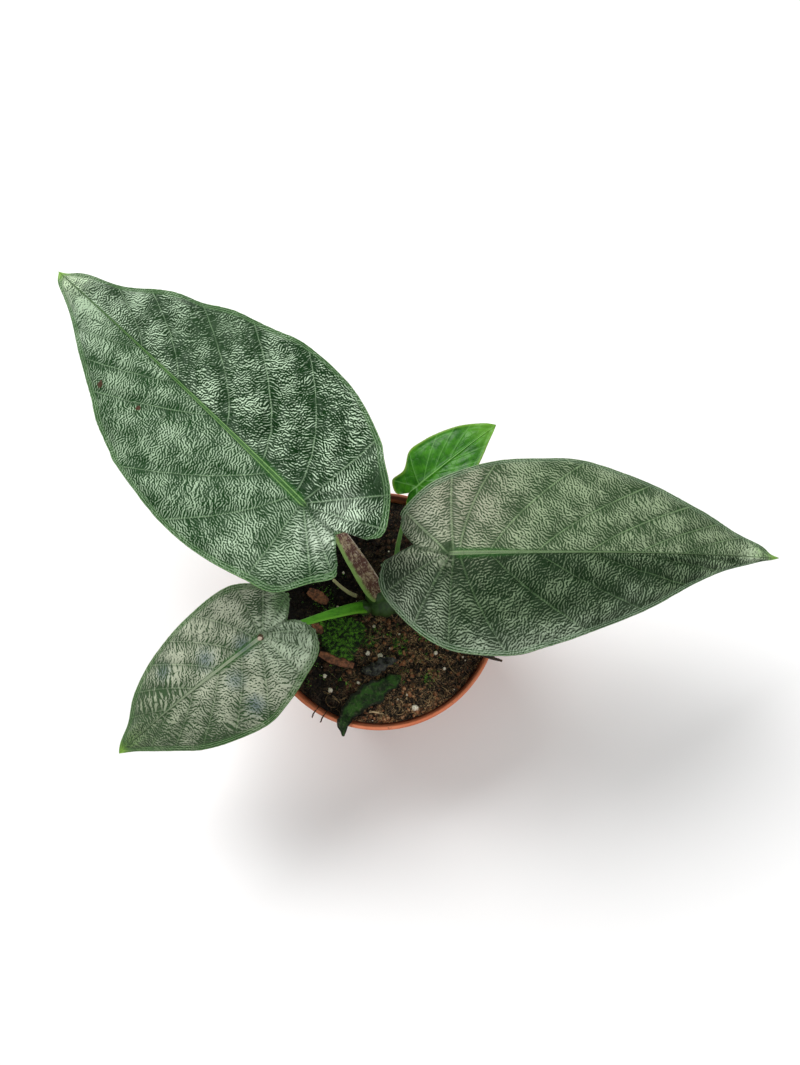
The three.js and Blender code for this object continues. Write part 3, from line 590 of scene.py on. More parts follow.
# Spots with an amount above 0 widen the dark valleys of the net as painted shade, and below 0 narrow them as
# painted light;
# creases coarsen it, tints colour its ridges, the pale ones as painted sheen and the dark ones as painted
# shade, and scars are small dead spots. Each is a place along and across the blade, a width, and an amount
# or a colour or both.
# Each side's ridge colour is pale in part as painted glints; where a blade's two sides differ, the paler
# side is painted reflection of the light and the darker side painted shade.
VELVETS = {
    "blade_large": dict(
        left=((0.26, 0.36, 0.235), (0.004, 0.032, 0.004), 0.515, 0.5),
        right=((0.40, 0.53, 0.37), (0.002, 0.022, 0.002), 0.55, 0.45),
        spacing=1.15, crease=0.06, dots=0.45, tip=173.0, rib_width=1.25, rib_green=1.0,
        rim=4.0, vein_width=0.55, rim_light=(0.15, 0.26, 0.12),
        light_and_shade_spots=[
            (-16.0, -12.0, 13.0, -0.07), (90.0, -31.3, 18.0, 0.05), (150.0, 0.0, 50.0, -0.05),
            (-15.0, -31.0, 15.0, 0.08), (-15.0, 5.0, 14.0, -0.10), (-14.0, -48.0, 18.0, -0.10),
        ],
        tints=[
            (150.0, 0.0, 60.0, 0.6, (0.34, 0.45, 0.31)), (166.0, 0.0, 24.0, 0.7, (0.62, 0.78, 0.50)),
            (-15.0, -47.0, 22.0, 1.0, (0.62, 0.74, 0.58)), (-15.0, 5.0, 16.0, 0.95, (0.58, 0.70, 0.54)),
            (-5.0, 36.0, 30.0, 0.6, (0.42, 0.54, 0.38)), (134.0, 20.0, 15.0, 0.8, (0.50, 0.62, 0.47)),
            (88.0, -31.0, 40.0, 0.8, (0.20, 0.29, 0.18)), (-15.0, -31.0, 17.0, 0.8, (0.14, 0.22, 0.12)),
            (-14.0, -12.0, 14.0, 0.8, (0.55, 0.68, 0.52)),
        ],
        creases=[(34.0, 32.0, 24.0, 0.2), (4.0, -36.0, 18.0, 0.15)],
        scars=[(82.5, 19.7, 2.0, BROWN), (105.1, 23.8, 2.4, BROWN)],
    ),
    "blade_right": dict(
        left=((0.215, 0.28, 0.165), (0.020, 0.048, 0.015), 0.49, 0.7),
        right=((0.115, 0.165, 0.092), (0.005, 0.020, 0.004), 0.53, 0.35),
        spacing=1.3, crease=0.04, dots=0.5, tip=159.0, rib_width=0.95, rib_green=0.5,
        rim=3.6, vein_width=0.8, rim_light=(0.24, 0.32, 0.22),
        light_and_shade_spots=[
            (-2.4, 2.0, 5.0, 0.45), (-5.0, -3.2, 5.0, -0.2), (-10.0, 4.0, 9.0, -0.08),
            (30.0, -48.0, 40.0, -0.07), (145.0, -8.0, 16.0, -0.14),
        ],
        tints=[
            (0.0, 26.0, 46.0, 0.9, (0.29, 0.29, 0.215)), (-24.0, -26.0, 34.0, 0.9, (0.32, 0.38, 0.28)),
            (-20.0, 12.0, 26.0, 0.7, (0.42, 0.45, 0.34)), (12.0, -49.0, 25.0, 1.0, (0.40, 0.49, 0.36)),
            (34.0, -49.0, 25.0, 1.0, (0.40, 0.49, 0.36)), (56.0, -44.0, 25.0, 1.0, (0.42, 0.52, 0.38)),
            (82.0, -28.0, 22.0, 0.9, (0.26, 0.34, 0.23)), (124.0, -11.0, 17.0, 0.9, (0.34, 0.46, 0.28)),
            (152.0, -6.0, 22.0, 1.0, (0.66, 0.80, 0.56)), (153.0, 6.0, 13.0, 0.9, (0.17, 0.34, 0.07)),
        ],
        scars=[],
        creases=[(90.0, 14.0, 30.0, 0.2), (10.0, -30.0, 22.0, 0.15)],
    ),
    "blade_left": dict(
        left=((0.35, 0.38, 0.28), (0.030, 0.062, 0.024), 0.45, 0.45),
        right=((0.35, 0.38, 0.28), (0.030, 0.062, 0.024), 0.45, 0.45),
        spacing=1.3, crease=0.14, dots=0.32, tip=100.6, rib_width=0.9, rib_green=0.35,
        rim=4.2, vein_width=0.6, rim_light=(0.15, 0.25, 0.11),
        light_and_shade_spots=[
            (-5.4, -14.8, 9.0, 0.16), (21.9, 32.7, 7.0, 0.2), (60.0, -10.0, 20.0, 0.07),
            (-17.0, -8.0, 7.0, 0.08), (84.0, 0.0, 44.0, 0.06), (52.0, 36.0, 28.0, 0.17),
        ],
        tints=[
            (-17.0, 6.0, 34.0, 1.0, (0.56, 0.69, 0.50)), (86.0, 1.0, 52.0, 0.85, (0.14, 0.19, 0.10)),
            (53.0, 38.0, 37.0, 1.0, (0.03, 0.06, 0.018)), (98.0, 0.0, 22.0, 0.9, (0.10, 0.21, 0.04)),
            (9.4, -2.2, 8.0, 0.8, BLUISH), (29.3, -7.8, 9.0, 0.7, BLUISH), (22.3, 8.6, 8.0, 0.6, BLUISH),
            (22.2, 23.4, 8.0, 0.8, BLUISH), (52.8, -16.7, 7.0, 0.7, BLUISH),
            (-17.0, -8.0, 9.0, 0.8, (0.08, 0.22, 0.05)),
        ],
        creases=[
            (61.0, -9.0, 27.0, 0.45), (30.0, 28.0, 16.0, 0.25), (28.0, -26.0, 14.0, 0.25),
        ],
        scars=[(0.3, 0.0, 2.6, BROWN), (0.9, 0.2, 1.7, PALE)],
    ),
}
for node, blade in BLADES.items():
    skin = blade_piece(node, blade)
    if node in VELVETS:
        velvet(skin, VELVETS[node])
        fit(skin, node)
    else:
        fresh_leaf(skin, blade["tip"][0])
        fit(skin, node)

# Petioles and the cut old stalk: fleshy stalks that taper upward, with a channel between two low wings in
# their sheathing lower part. Each is a ring of points carried along a curve, from the crown to its blade.
STALK_STEPS = 200
STALK_SIDES = 48
STALKS = {
    "petiole_large": dict(
        points=[(0.8, 6.8, 91), (-2.6, 9.2, 108), (-9.9, 18.2, 142), (-16, 25.4, 168), (-23, 28.4, 197),
                (-26.2, 27.7, 221.9)],
        foot=4.1, head=2.2, wing=2.4,
    ),
    "petiole_right": dict(
        points=[(10.4, 1.6, 92), (13, 2.4, 106), (19.4, 5.8, 132), (28.6, 9.6, 160), (36.6, 12.3, 185.9)],
        foot=2.8, head=1.9, wing=0.9,
    ),
    "petiole_left": dict(
        points=[(-6.6, 1.2, 92), (-9.6, 0.2, 104), (-18, -3.6, 118.5), (-32.7, -9.8, 132),
                (-45.5, -15.6, 140), (-52.2, -18.5, 143.9)],
        foot=2.7, head=1.45, wing=1.1,
    ),
    "petiole_young": dict(
        points=[(9.4, 11.4, 93), (9.2, 15, 104), (9.6, 25.7, 121), (12.6, 36.5, 132), (16.6, 46.4, 142),
                (20.6, 52.2, 148.1)],
        foot=1.3, head=0.9, wing=0.3,
    ),
    "old_stalk": dict(
        points=[(-9.4, 7.4, 93), (-14.3, 8.1, 102.5), (-18.4, 10.2, 109), (-22.2, 13.1, 115)],
        foot=1.15, head=0.8, wing=0,
    ),
}


def between(t, low, high, first, second):
    """Straight line from the first point at low to the second at high."""
    return (high - t) / (high - low) * first + (t - low) / (high - low) * second


def path_frames(points, shares):
    """Places, sideways and front directions at shares of the length of a centripetal Catmull-Rom curve."""
    points = np.asarray(points, float)
    padded = np.vstack([2 * points[0] - points[1], points, 2 * points[-1] - points[-2]])
    knots = np.concatenate([[0], np.cumsum(np.linalg.norm(np.diff(padded, axis=0), axis=1) ** 0.5)])
    fine = []
    for i in range(len(points) - 1):
        t = np.linspace(knots[i + 1], knots[i + 2], 61)[:-1, None]
        k, p = knots[i:i + 4], padded[i:i + 4]
        a = [between(t, k[j], k[j + 1], p[j], p[j + 1]) for j in range(3)]
        b = [between(t, k[j], k[j + 2], a[j], a[j + 1]) for j in range(2)]
        fine.append(between(t, k[1], k[2], *b))
    fine = np.vstack([*fine, points[-1:]])
    run = np.concatenate([[0], np.cumsum(np.linalg.norm(np.diff(fine, axis=0), axis=1))])
    run /= run[-1]
    place = np.stack([np.interp(shares, run, fine[:, n]) for n in range(3)], -1)
    ahead = np.stack([np.interp(np.minimum(shares + 0.01, 1), run, fine[:, n]) for n in range(3)], -1)
    behind = np.stack([np.interp(np.maximum(shares - 0.01, 0), run, fine[:, n]) for n in range(3)], -1)
    tangent = (ahead - behind) / np.linalg.norm(ahead - behind, axis=-1, keepdims=True)
    side = np.cross((0.0, 0.0, 1.0), tangent)
    side /= np.linalg.norm(side, axis=-1, keepdims=True)
    return place, side, np.cross(tangent, side)


def stalk_table(points, girth, steps, sides):
    """Rings along a path: girth gives two radii, sideways and to the front, and a shift to the front, at a
    share of the length and an angle round it. Returns points, faces, and each point's share and angle."""
    shares = np.linspace(0, 1, steps)
    place, side, front = path_frames(points, shares)
    angle = np.arange(sides) * 2 * np.pi / sides
    v, a = np.meshgrid(shares, angle, indexing="ij")
    wide, deep, shift = girth(v, a)
    rings = place[:, None] + side[:, None] * (wide * np.cos(a))[..., None]
    rings = rings + front[:, None] * (deep * np.sin(a) + shift)[..., None]
    table = np.concatenate([place[:1], rings.reshape(-1, 3), place[-1:]])
    marks = np.concatenate([[(0, 0)], np.stack([v, a], -1).reshape(-1, 2), [(1, 0)]])
    return table, skin_faces(steps, sides), marks[:, 0], marks[:, 1]


def petiole_girth(foot, head, wing):
    """Radius that tapers from foot to head, less a channel at the front, plus a wing on each side of it."""
    def girth(share, angle):
        taper = head + (foot - head) * (1 - share) ** 1.4
        turn = np.abs(np.arctan2(np.sin(angle - np.pi / 2), np.cos(angle - np.pi / 2)))
        sheath = wing * (1 - smooth(0.35, 0.8, share)) * smooth(-0.05, 0.2, share)
        wings = sheath * bell(turn - 0.95, 0.35)
        channel = 0.3 * taper * bell(turn, 0.5) * (1 - 0.6 * share)
        ends = np.sqrt(np.clip(1 - ((share - 0.985) / 0.016).clip(0, 1) ** 2, 0.05, 1))
        fibre = 0.02 * taper * np.sin(24 * angle + 3 * np.sin(9 * share))
        radius = ends * (taper + wings - channel + fibre)
        return radius, radius, 0
    return girth


def stalk_finish(piece, main, blotch, wing_colour, speck, cover):
    """Satin stalk: blotches of a darker colour over the green, pale specks and streaks, a lighter wing along
    one side and a pale line along the other."""
    finish = Finish(piece.name.replace("skin", "finish"), Specular_IOR_Level=0.3)
    place = finish.place()
    share, turn = finish.attribute("share"), finish.attribute("turn")
    low_part = share.ramp(0.5, 0.85, 1.0, 0.0)
    lengthwise = finish.node("ShaderNodeCombineXYZ", None, {0: share * 26.0, 1: turn * 2.6})
    cloud, patch = finish.noise(lengthwise, 1.0, 5.0, 0.65), finish.noise(place, 110.0, 2.0)
    dark = (cloud * 0.6 + patch * 0.4 + cover).ramp(0.44, 0.56)
    colour = finish.mix(dark, main, blotch)
    streaks = finish.noise(lengthwise, 2.6, 3.0, 0.6)
    colour = finish.mix(streaks.ramp(0.54, 0.66) * 0.6, colour, speck)
    uneven = turn + (cloud - 0.5) * 0.5
    colour = finish.mix(abs(uneven + 1.25).ramp(0.45, 0.7, 1.0, 0.0) * low_part * 0.9, colour, wing_colour)
    colour = finish.mix(abs(uneven - 1.05).ramp(0.08, 0.2, 1.0, 0.0) * low_part * 0.8, colour, speck)
    bump = finish.bump(streaks, 0.6, 0.0003)
    finish.cover(piece, Base_Color=colour, Roughness=0.35 + streaks * 0.3, Normal=bump)


GREEN_STALK = (0.10, 0.37, 0.018)
STALK_FINISHES = {
    "petiole_large": ("petiole_mottled", (0.46, 0.36, 0.22), (0.11, 0.042, 0.028), (0.26, 0.46, 0.11),
                      (0.80, 0.68, 0.54), 0.05),
    "petiole_right": ("petiole_mottled", (0.13, 0.21, 0.07), (0.07, 0.04, 0.028), (0.16, 0.30, 0.08),
                      (0.35, 0.33, 0.22), 0.0),
    "petiole_left": ("petiole_green", GREEN_STALK, (0.055, 0.25, 0.008), (0.16, 0.46, 0.03),
                     (0.14, 0.38, 0.04), -0.04),
    "petiole_young": ("petiole_green", (0.11, 0.27, 0.05), (0.07, 0.19, 0.035), (0.20, 0.36, 0.10),
                      (0.2, 0.36, 0.12), -0.06),
    "old_stalk": ("dry_stalk", (0.52, 0.50, 0.26), (0.32, 0.32, 0.14), (0.52, 0.50, 0.26),
                  (0.65, 0.6, 0.40), -0.04),
}
for node, stalk in STALKS.items():
    girth = petiole_girth(stalk["foot"], stalk["head"], stalk["wing"])
    table, faces, share, angle = stalk_table(stalk["points"], girth, STALK_STEPS, STALK_SIDES)
    piece = new_piece(node + "_skin", table * MM, faces)
    mark(piece, "share", share)
    mark(piece, "turn", np.arctan2(np.sin(angle - np.pi / 2), np.cos(angle - np.pi / 2)))
    slot, *finish = STALK_FINISHES[node]
    fit(piece, node)
    stalk_finish(piece, *finish)

# Crown: the short stem, wrapped in the green sheath bases of the petioles. Each base is a tilted egg with
# fine lengthwise ribs, and they are one body that stands in the soil.
CROWN_LOBES = [
    ((2.5, 4.2, 95), (10.5, 8.5, 10), 0),
    ((-0.6, 7.6, 99), (6.6, 6.2, 9), -0.12),
    ((10.2, 2.2, 98), (4.9, 4.6, 8.5), 0.15),
    ((-7.4, 1.4, 97), (4.9, 4.3, 7.5), -0.3),
    ((9.2, 11.6, 97), (3.2, 3.4, 7), 0.1),
]


def egg(centre, size, lean, sides=40, steps=24):
    """Ellipsoid turned about Y by lean, with shallow ribs from pole to pole."""
    rises, angles = np.linspace(0, np.pi, steps + 2)[1:-1], np.arange(sides) * 2 * np.pi / sides
    rise, angle = np.meshgrid(rises, angles, indexing="ij")
    rib = 1 + 0.035 * np.sin(9 * angle + 2 * rise)
    ring = np.stack([
        size[0] * np.sin(rise) * np.cos(angle) * rib, size[1] * np.sin(rise) * np.sin(angle) * rib,
        size[2] * np.cos(rise),
    ], -1)
    table = np.concatenate([[(0, 0, size[2])], ring.reshape(-1, 3), [(0, 0, -size[2])]])
    cos, sin = math.cos(lean), math.sin(lean)
    x, y, z = table.T
    turned = np.stack([cos * x + sin * z, y, cos * z - sin * x], -1)
    faces = [(face[0], *face[:0:-1]) for face in skin_faces(steps, sides)]
    return turned + np.array(centre), faces


def joined(parts):
    """Several point tables with their faces as one."""
    tables, faces, start = [], [], 0
    for table, part in parts:
        tables.append(table)
        faces += [tuple(n + start for n in face) for face in part]
        start += len(table)
    return np.vstack(tables), faces


table, faces = joined([egg(*lobe) for lobe in CROWN_LOBES])
crown = new_piece("crown_sheaths", table * MM, faces)
fit(crown, "crown")
green = Finish("crown_sheath", Roughness=0.45)
place = green.place()
cloud = green.noise(place, 180.0, 4.0, 0.6)
# The green is kept dark as painted shade of the leaves over the crown, and turns darker and browner towards
# its foot.
colour = green.mix(cloud.ramp(0.35, 0.65), (0.016, 0.053, 0.007), (0.041, 0.113, 0.016))
height = green.axis(place, 2)
colour = green.mix(height.ramp(0.098, 0.104, 0.75, 0.0), colour, (0.03, 0.035, 0.012))
green.cover(crown, Base_Color=colour, Normal=green.bump(cloud, 0.6, 0.0006))

# Pot: a moulded nursery pot with a straight collar under a rounded rim, a sloping wall with a matt grain,
# and drain holes round its flat foot. One turned profile, with the holes cut through the floor.
RIM_RADIUS = 60
RIM_HEIGHT = 104
COLLAR_DROP = 9
WALL_TOP_RADIUS = 57.4
FOOT_RADIUS = 42
WALL = 1.6
FLOOR = 2
POT_SIDES = 192
DRAIN_HOLES = 8
DRAIN_RADIUS = 3.2
DRAIN_CIRCLE = 33
SOIL_LEVEL = 98
GAP = 0.3


def outer_radius(height):
    """Radius of the sloping wall's outside."""
    return FOOT_RADIUS + height * (WALL_TOP_RADIUS - FOOT_RADIUS) / (RIM_HEIGHT - COLLAR_DROP)


def turned_shape(profile, sides):
    """A profile of radius and height turned round Z; it starts and ends on the axis."""
    profile = np.asarray(profile, float)
    angle = np.arange(sides) * 2 * np.pi / sides
    inner = profile[1:-1]
    ring = np.stack([
        inner[:, :1] * np.cos(angle), inner[:, :1] * np.sin(angle), inner[:, 1:] + 0 * angle
    ], -1)
    table = np.concatenate([[(0, 0, profile[0, 1])], ring.reshape(-1, 3), [(0, 0, profile[-1, 1])]])
    return table, skin_faces(len(inner), sides)


collar_foot = RIM_HEIGHT - COLLAR_DROP
wall_heights = np.linspace(1.2, collar_foot - 1.5, 14)
lip = np.linspace(0, np.pi, 9)
lip_round = 0.85
lip_x, lip_z = RIM_RADIUS - lip_round, RIM_HEIGHT - lip_round
profile = [(0, 0), (12, 0), (24, 0), (FOOT_RADIUS - 1.4, 0)]
profile += [(FOOT_RADIUS - 0.5, 0.25), (FOOT_RADIUS - 0.05, 0.8)]
profile += [(outer_radius(z), z) for z in wall_heights]
profile += [(RIM_RADIUS - 0.75, collar_foot - 0.35), (RIM_RADIUS - 0.35, collar_foot + 0.2)]
profile += [(RIM_RADIUS - 0.2, collar_foot + 2), (RIM_RADIUS - 0.05, RIM_HEIGHT - 2.5)]
profile += [(lip_x + lip_round * math.cos(a), lip_z + lip_round * math.sin(a)) for a in lip]
profile += [(RIM_RADIUS - WALL - 0.25, RIM_HEIGHT - 2), (RIM_RADIUS - WALL - 0.5, collar_foot + 2)]
profile += [(outer_radius(z) - WALL, z) for z in np.linspace(collar_foot - 2, FLOOR + 1, 10)]
profile += [(outer_radius(FLOOR) - WALL - 1, FLOOR), (24, FLOOR), (12, FLOOR), (0, FLOOR)]
table, faces = turned_shape(profile, POT_SIDES)
pot = new_piece("pot_moulded", table * MM, faces)
cutter_parts = []
for n in range(DRAIN_HOLES):
    turn = n * 2 * math.pi / DRAIN_HOLES
    bar, bar_faces = turned_shape([(0, -3), (DRAIN_RADIUS, -3), (DRAIN_RADIUS, 6), (0, 6)], 32)
    bar = bar + np.array([DRAIN_CIRCLE * math.cos(turn), DRAIN_CIRCLE * math.sin(turn), 0])
    cutter_parts.append((bar, bar_faces))
table, faces = joined(cutter_parts)
cutter = new_piece("drain_cutter", table * MM, faces)
cut = pot.modifiers.new("drain_holes", "BOOLEAN")
cut.operation, cut.object, cut.solver = "DIFFERENCE", cutter, "EXACT"
whole = bpy.data.meshes.new_from_object(pot.evaluated_get(bpy.context.evaluated_depsgraph_get()))
pot.modifiers.clear()
pot.data = whole
pot.data.shade_smooth()
pot.data.set_sharp_from_angle(angle=math.radians(40))
bpy.data.objects.remove(cutter)
fit(pot, "pot")

shell = Finish("pot_plastic", Roughness=0.55, Specular_IOR_Level=0.4)
place = shell.place()
height = shell.axis(place, 2)
cloud, speckle = shell.noise(place, 45.0, 5.0, 0.6), shell.noise(place, 1400.0, 2.0)
colour = shell.mix(cloud.ramp(0.3, 0.7), (0.58, 0.155, 0.065), (0.72, 0.235, 0.115))
smudge = shell.noise(place, 320.0, 5.0, 0.7).ramp(0.58, 0.72) * height.ramp(0.088, 0.1, 0.1, 0.6)
level = shell.vector("MULTIPLY", {0: place, 1: (1.0, 1.0, 0.0)}, 0)
from_axis = shell.vector("LENGTH", {0: level})
inner_face = from_axis.ramp((RIM_RADIUS - 0.5) * MM, (RIM_RADIUS - 0.25) * MM, 1.0, 0.0)
# The inside face of the rim at the back turns dark brown in a cloudy pattern.
behind = shell.axis(place, 1).ramp(0.03, 0.052) * height.ramp(0.094, 0.1)
overlay = behind * inner_face * cloud.ramp(0.2, 0.5) * 0.85
colour = shell.mix(smudge.most(overlay), colour, (0.075, 0.026, 0.014))
bump = shell.bump(speckle, 0.35, 0.00012)
shell.cover(pot, Base_Color=colour, Roughness=0.5 + speckle * 0.25, Normal=bump)

# Soil: damp bark and peat crumbs that fill the pot, higher at the crown, with moss grown on them. One
# closed body: a fine disc of crumbs on top, and a plain skirt down the inside of the pot.
CROWN_CENTRE = (2.5, 4.2)
MOSS_CENTRE = (-19, -14)
MOSS_RADIUS = 13
MOSS_RISE = 4.5
SOIL_CELLS = 290
SOIL_TOP_RADIUS = RIM_RADIUS - WALL - 0.5 - GAP - 1.2


def ground(x, y):
    """Rolling level of the soil, highest at the crown."""
    roll = 0.7 * np.sin(x / 9 + 1) * np.sin(y / 11) + 0.4 * np.sin((x + y) / 5)
    return SOIL_LEVEL + roll + 2.2 * bell(np.hypot(x - CROWN_CENTRE[0], y - CROWN_CENTRE[1]), 15)


def moss_rise(x, y):
    """Low cushion with a wavy edge."""
    away = np.hypot(x - MOSS_CENTRE[0], (y - MOSS_CENTRE[1]) * 0.9)
    turn = np.arctan2(y - MOSS_CENTRE[1], x - MOSS_CENTRE[0])
    edge = MOSS_RADIUS * (1 + 0.12 * np.sin(3 * turn))
    return MOSS_RISE * (1 - smooth(0.35, 1, away / edge)) * (0.85 + 0.15 * np.sin(x * 1.1) * np.sin(y))


def crumbs(x, y):
    """Crumbly relief: rounded clods of three sizes with gaps between them."""
    clods = 1.5 * np.abs(lumps(x, y, 5.0, 1)) + 1.1 * np.abs(lumps(x, y, 2.3, 2))
    return clods + 0.5 * np.abs(lumps(x, y, 1.1, 3)) - 1.3 + 0.18 * lumps(x, y, 0.5, 4)


def soil_height(x, y):
    """Top of the soil in mm: ground, moss and crumbs, let down to the wall."""
    moss = moss_rise(x, y)
    top = ground(x, y) + moss + crumbs(x, y) * (1 - 0.6 * smooth(0.3, 2, moss))
    inside = 1 - smooth(0.93, 1.0, np.hypot(x, y) / (SOIL_TOP_RADIUS + 1.2))
    return (SOIL_LEVEL - 0.8) * (1 - inside) + top * inside


# A square grid bent onto the disc, ring by ring, so that all its cells are about one size.
a, b = np.meshgrid(np.linspace(-1, 1, SOIL_CELLS + 1), np.linspace(-1, 1, SOIL_CELLS + 1), indexing="ij")
wide = np.abs(a) > np.abs(b)
ring = np.where(wide, a, b)
steep = np.pi / 2 - (np.pi / 4) * a / np.where(ring == 0, 1, ring)
turn = np.where(wide, (np.pi / 4) * b / np.where(wide, a, 1), steep)
disc_x, disc_y = SOIL_TOP_RADIUS * ring * np.cos(turn), SOIL_TOP_RADIUS * ring * np.sin(turn)
top = np.stack([disc_x, disc_y, soil_height(disc_x, disc_y)], -1)
run, end = np.arange(SOIL_CELLS), np.full(SOIL_CELLS, SOIL_CELLS)
edge_i = np.concatenate([run, end, end - run, 0 * run])
edge_j = np.concatenate([0 * run, run, end, end - run])
border = edge_i * (SOIL_CELLS + 1) + edge_j
rim_x, rim_y = disc_x.ravel()[border] / SOIL_TOP_RADIUS, disc_y.ravel()[border] / SOIL_TOP_RADIUS
skirt = []
for radius, z in ((outer_radius(collar_foot - 2.5) - WALL - GAP, collar_foot - 2.5),
                  (outer_radius(FLOOR + GAP) - WALL - GAP, FLOOR + GAP)):
    skirt.append(np.stack([radius * rim_x, radius * rim_y, z + 0 * rim_x], -1))
table = np.vstack([top.reshape(-1, 3), *skirt, [(0, 0, FLOOR + GAP)]])
i, j = np.meshgrid(np.arange(SOIL_CELLS), np.arange(SOIL_CELLS), indexing="ij")
at = i * (SOIL_CELLS + 1) + j
faces = np.stack([at, at + SOIL_CELLS + 1, at + SOIL_CELLS + 2, at + 1], -1).reshape(-1, 4).tolist()
first, around = (SOIL_CELLS + 1) ** 2, len(border)
loops = [border, first + np.arange(around), first + around + np.arange(around)]
for upper, lower in zip(loops, loops[1:]):
    faces += np.stack([upper, lower, np.roll(lower, -1), np.roll(upper, -1)], -1).tolist()
faces += [(len(table) - 1, int(q), int(p)) for p, q in zip(loops[2], np.roll(loops[2], -1))]
soil = new_piece("soil_body", table * MM, faces)
mark(soil, "moss", np.concatenate([moss_rise(disc_x, disc_y).ravel(), np.zeros(len(table) - first)]))
mark(soil, "crumb", np.concatenate([crumbs(disc_x, disc_y).ravel(), np.full(len(table) - first, -1.0)]))
fit(soil, "soil")


def lit_ground(finish, place):
    """Painted light and shade on the soil: near 1 in front of the plant, where it is lit and shows straw
    colours;
    low on the left and at the back under the leaves, where it turns black as painted shade; halved near the
    right rim.
    """
    drift = (finish.noise(place, 90.0, 3.0) - 0.5) * 0.03
    x, y = finish.axis(place, 0) + drift, finish.axis(place, 1) + drift
    lit_share = x.ramp(-0.026, 0.004, 0.12, 1.0) * y.ramp(-0.014, 0.010, 1.0, 0.2)
    return lit_share * x.ramp(0.024, 0.044, 1.0, 0.5)


earth = Finish("damp_soil", Roughness=0.9, Specular_IOR_Level=0.25)
place = earth.place()
clod, grain = earth.noise(place, 300.0, 5.0, 0.65), earth.noise(place, 1500.0, 3.0, 0.7)
lit_share, proud = lit_ground(earth, place), earth.attribute("crumb").ramp(-0.8, 0.5)
# Clods turn black in the crevices between crumbs, as painted shade, and where lit_ground paints the shade of
# the leaves.
colour = earth.mix(clod.ramp(0.42, 0.66) * lit_share * proud, (0.002, 0.0012, 0.0008), (0.19, 0.095, 0.036))
colour = earth.mix(grain.ramp(0.52, 0.60) * lit_share * (proud * 0.7 + 0.3), colour, (0.55, 0.38, 0.20))
moss = earth.attribute("moss")
moss_colour = earth.mix(grain, (0.003, 0.010, 0.001), (0.03, 0.085, 0.010))
colour = earth.mix((moss + clod * 1.2 - 0.6).ramp(0.1, 1.0), colour, moss_colour)
bump = earth.bump(clod + grain * 0.5, 0.9, 0.0008)
earth.cover(soil, Base_Color=colour, Roughness=0.6 + grain * 0.35, Normal=bump)

# Loose matter on the soil: crumbs of bark and peat, and pale grains of expanded perlite. Each kind is one
# piece of many small closed knobs, sunk a little into the soil where a seeded draw puts them.
SPREAD_RADIUS = 55.5
CRUMBS = 5200
PERLITE_GRAINS = 52


def knob():
    """Twelve corners and twenty faces of an icosahedron of radius one."""
    g = (1 + 5**0.5) / 2
    corners = [
        (-1, g, 0), (1, g, 0), (-1, -g, 0), (1, -g, 0), (0, -1, g), (0, 1, g), (0, -1, -g), (0, 1, -g),
        (g, 0, -1), (g, 0, 1), (-g, 0, -1), (-g, 0, 1),
    ]
    faces = [
        (0, 11, 5), (0, 5, 1), (0, 1, 7), (0, 7, 10), (0, 10, 11), (1, 5, 9), (5, 11, 4), (11, 10, 2),
        (10, 7, 6), (7, 1, 8), (3, 9, 4), (3, 4, 2), (3, 2, 6), (3, 6, 8), (3, 8, 9), (4, 9, 5),
        (2, 4, 11), (6, 2, 10), (8, 6, 7), (9, 8, 1),
    ]
    return np.array(corners) / math.hypot(1, g), np.array(faces)


def turns(draw, count):
    """Random rotation matrices from seeded unit quaternions."""
    q = draw.normal(size=(count, 4))
    q /= np.linalg.norm(q, axis=1, keepdims=True)
    w, x, y, z = q.T
    return np.stack([
        np.stack([1 - 2 * (y * y + z * z), 2 * (x * y - z * w), 2 * (x * z + y * w)], -1),
        np.stack([2 * (x * y + z * w), 1 - 2 * (x * x + z * z), 2 * (y * z - x * w)], -1),
        np.stack([2 * (x * z - y * w), 2 * (y * z + x * w), 1 - 2 * (x * x + y * y)], -1),
    ], 1)


def scattered(name, places, sizes, stretch, seed, rough):
    """Bumpy knobs at places on the soil, each stretched between two limits before it is turned."""
    draw = np.random.default_rng(seed)
    corners, faces = knob()
    count = len(places)
    knobs = corners[None] * (1 + draw.uniform(-rough, rough, (count, 12, 1)))
    knobs = knobs * (sizes[:, None] * draw.uniform(*stretch, (count, 3)))[:, None]
    knobs = np.einsum("nij,nkj->nki", turns(draw, count), knobs)
    x, y = places.T
    centre = np.stack([x, y, soil_height(x, y) + 0.15 * sizes], -1)
    table = (knobs + centre[:, None]).reshape(-1, 3)
    faces = (faces[None] + 12 * np.arange(count)[:, None, None]).reshape(-1, 3)
    piece = new_piece(name, table * MM, faces)
    mark(piece, "shade", np.repeat(draw.uniform(0, 1, count), 12))
    return piece


def spots(draw, count, keep):
    """Seeded places on the soil's disc where keep allows them."""
    turn = draw.uniform(0, 2 * np.pi, 4 * count)
    radius = SPREAD_RADIUS * np.sqrt(draw.uniform(0, 1, 4 * count))
    places = np.stack([radius * np.cos(turn), radius * np.sin(turn)], -1)
    return places[keep(*places.T)][:count]


def bare(x, y):
    """Soil without moss, outside the crown."""
    return (moss_rise(x, y) < 0.8) & (np.hypot(x - CROWN_CENTRE[0], y - CROWN_CENTRE[1]) > 9)


draw = np.random.default_rng(5)
places = spots(draw, CRUMBS, bare)
sizes = 0.3 + 1.3 * draw.uniform(0, 1, len(places)) ** 4
crumb_piece = scattered("soil_crumbs", places, sizes, (0.5, 1.3), 6, 0.3)
fit(crumb_piece)
crumb = Finish("bark_crumb", Roughness=0.85, Specular_IOR_Level=0.25)
place, shade = crumb.place(), crumb.attribute("shade")
fleck, lit_share = crumb.noise(place, 900.0, 4.0, 0.7), lit_ground(crumb, place)
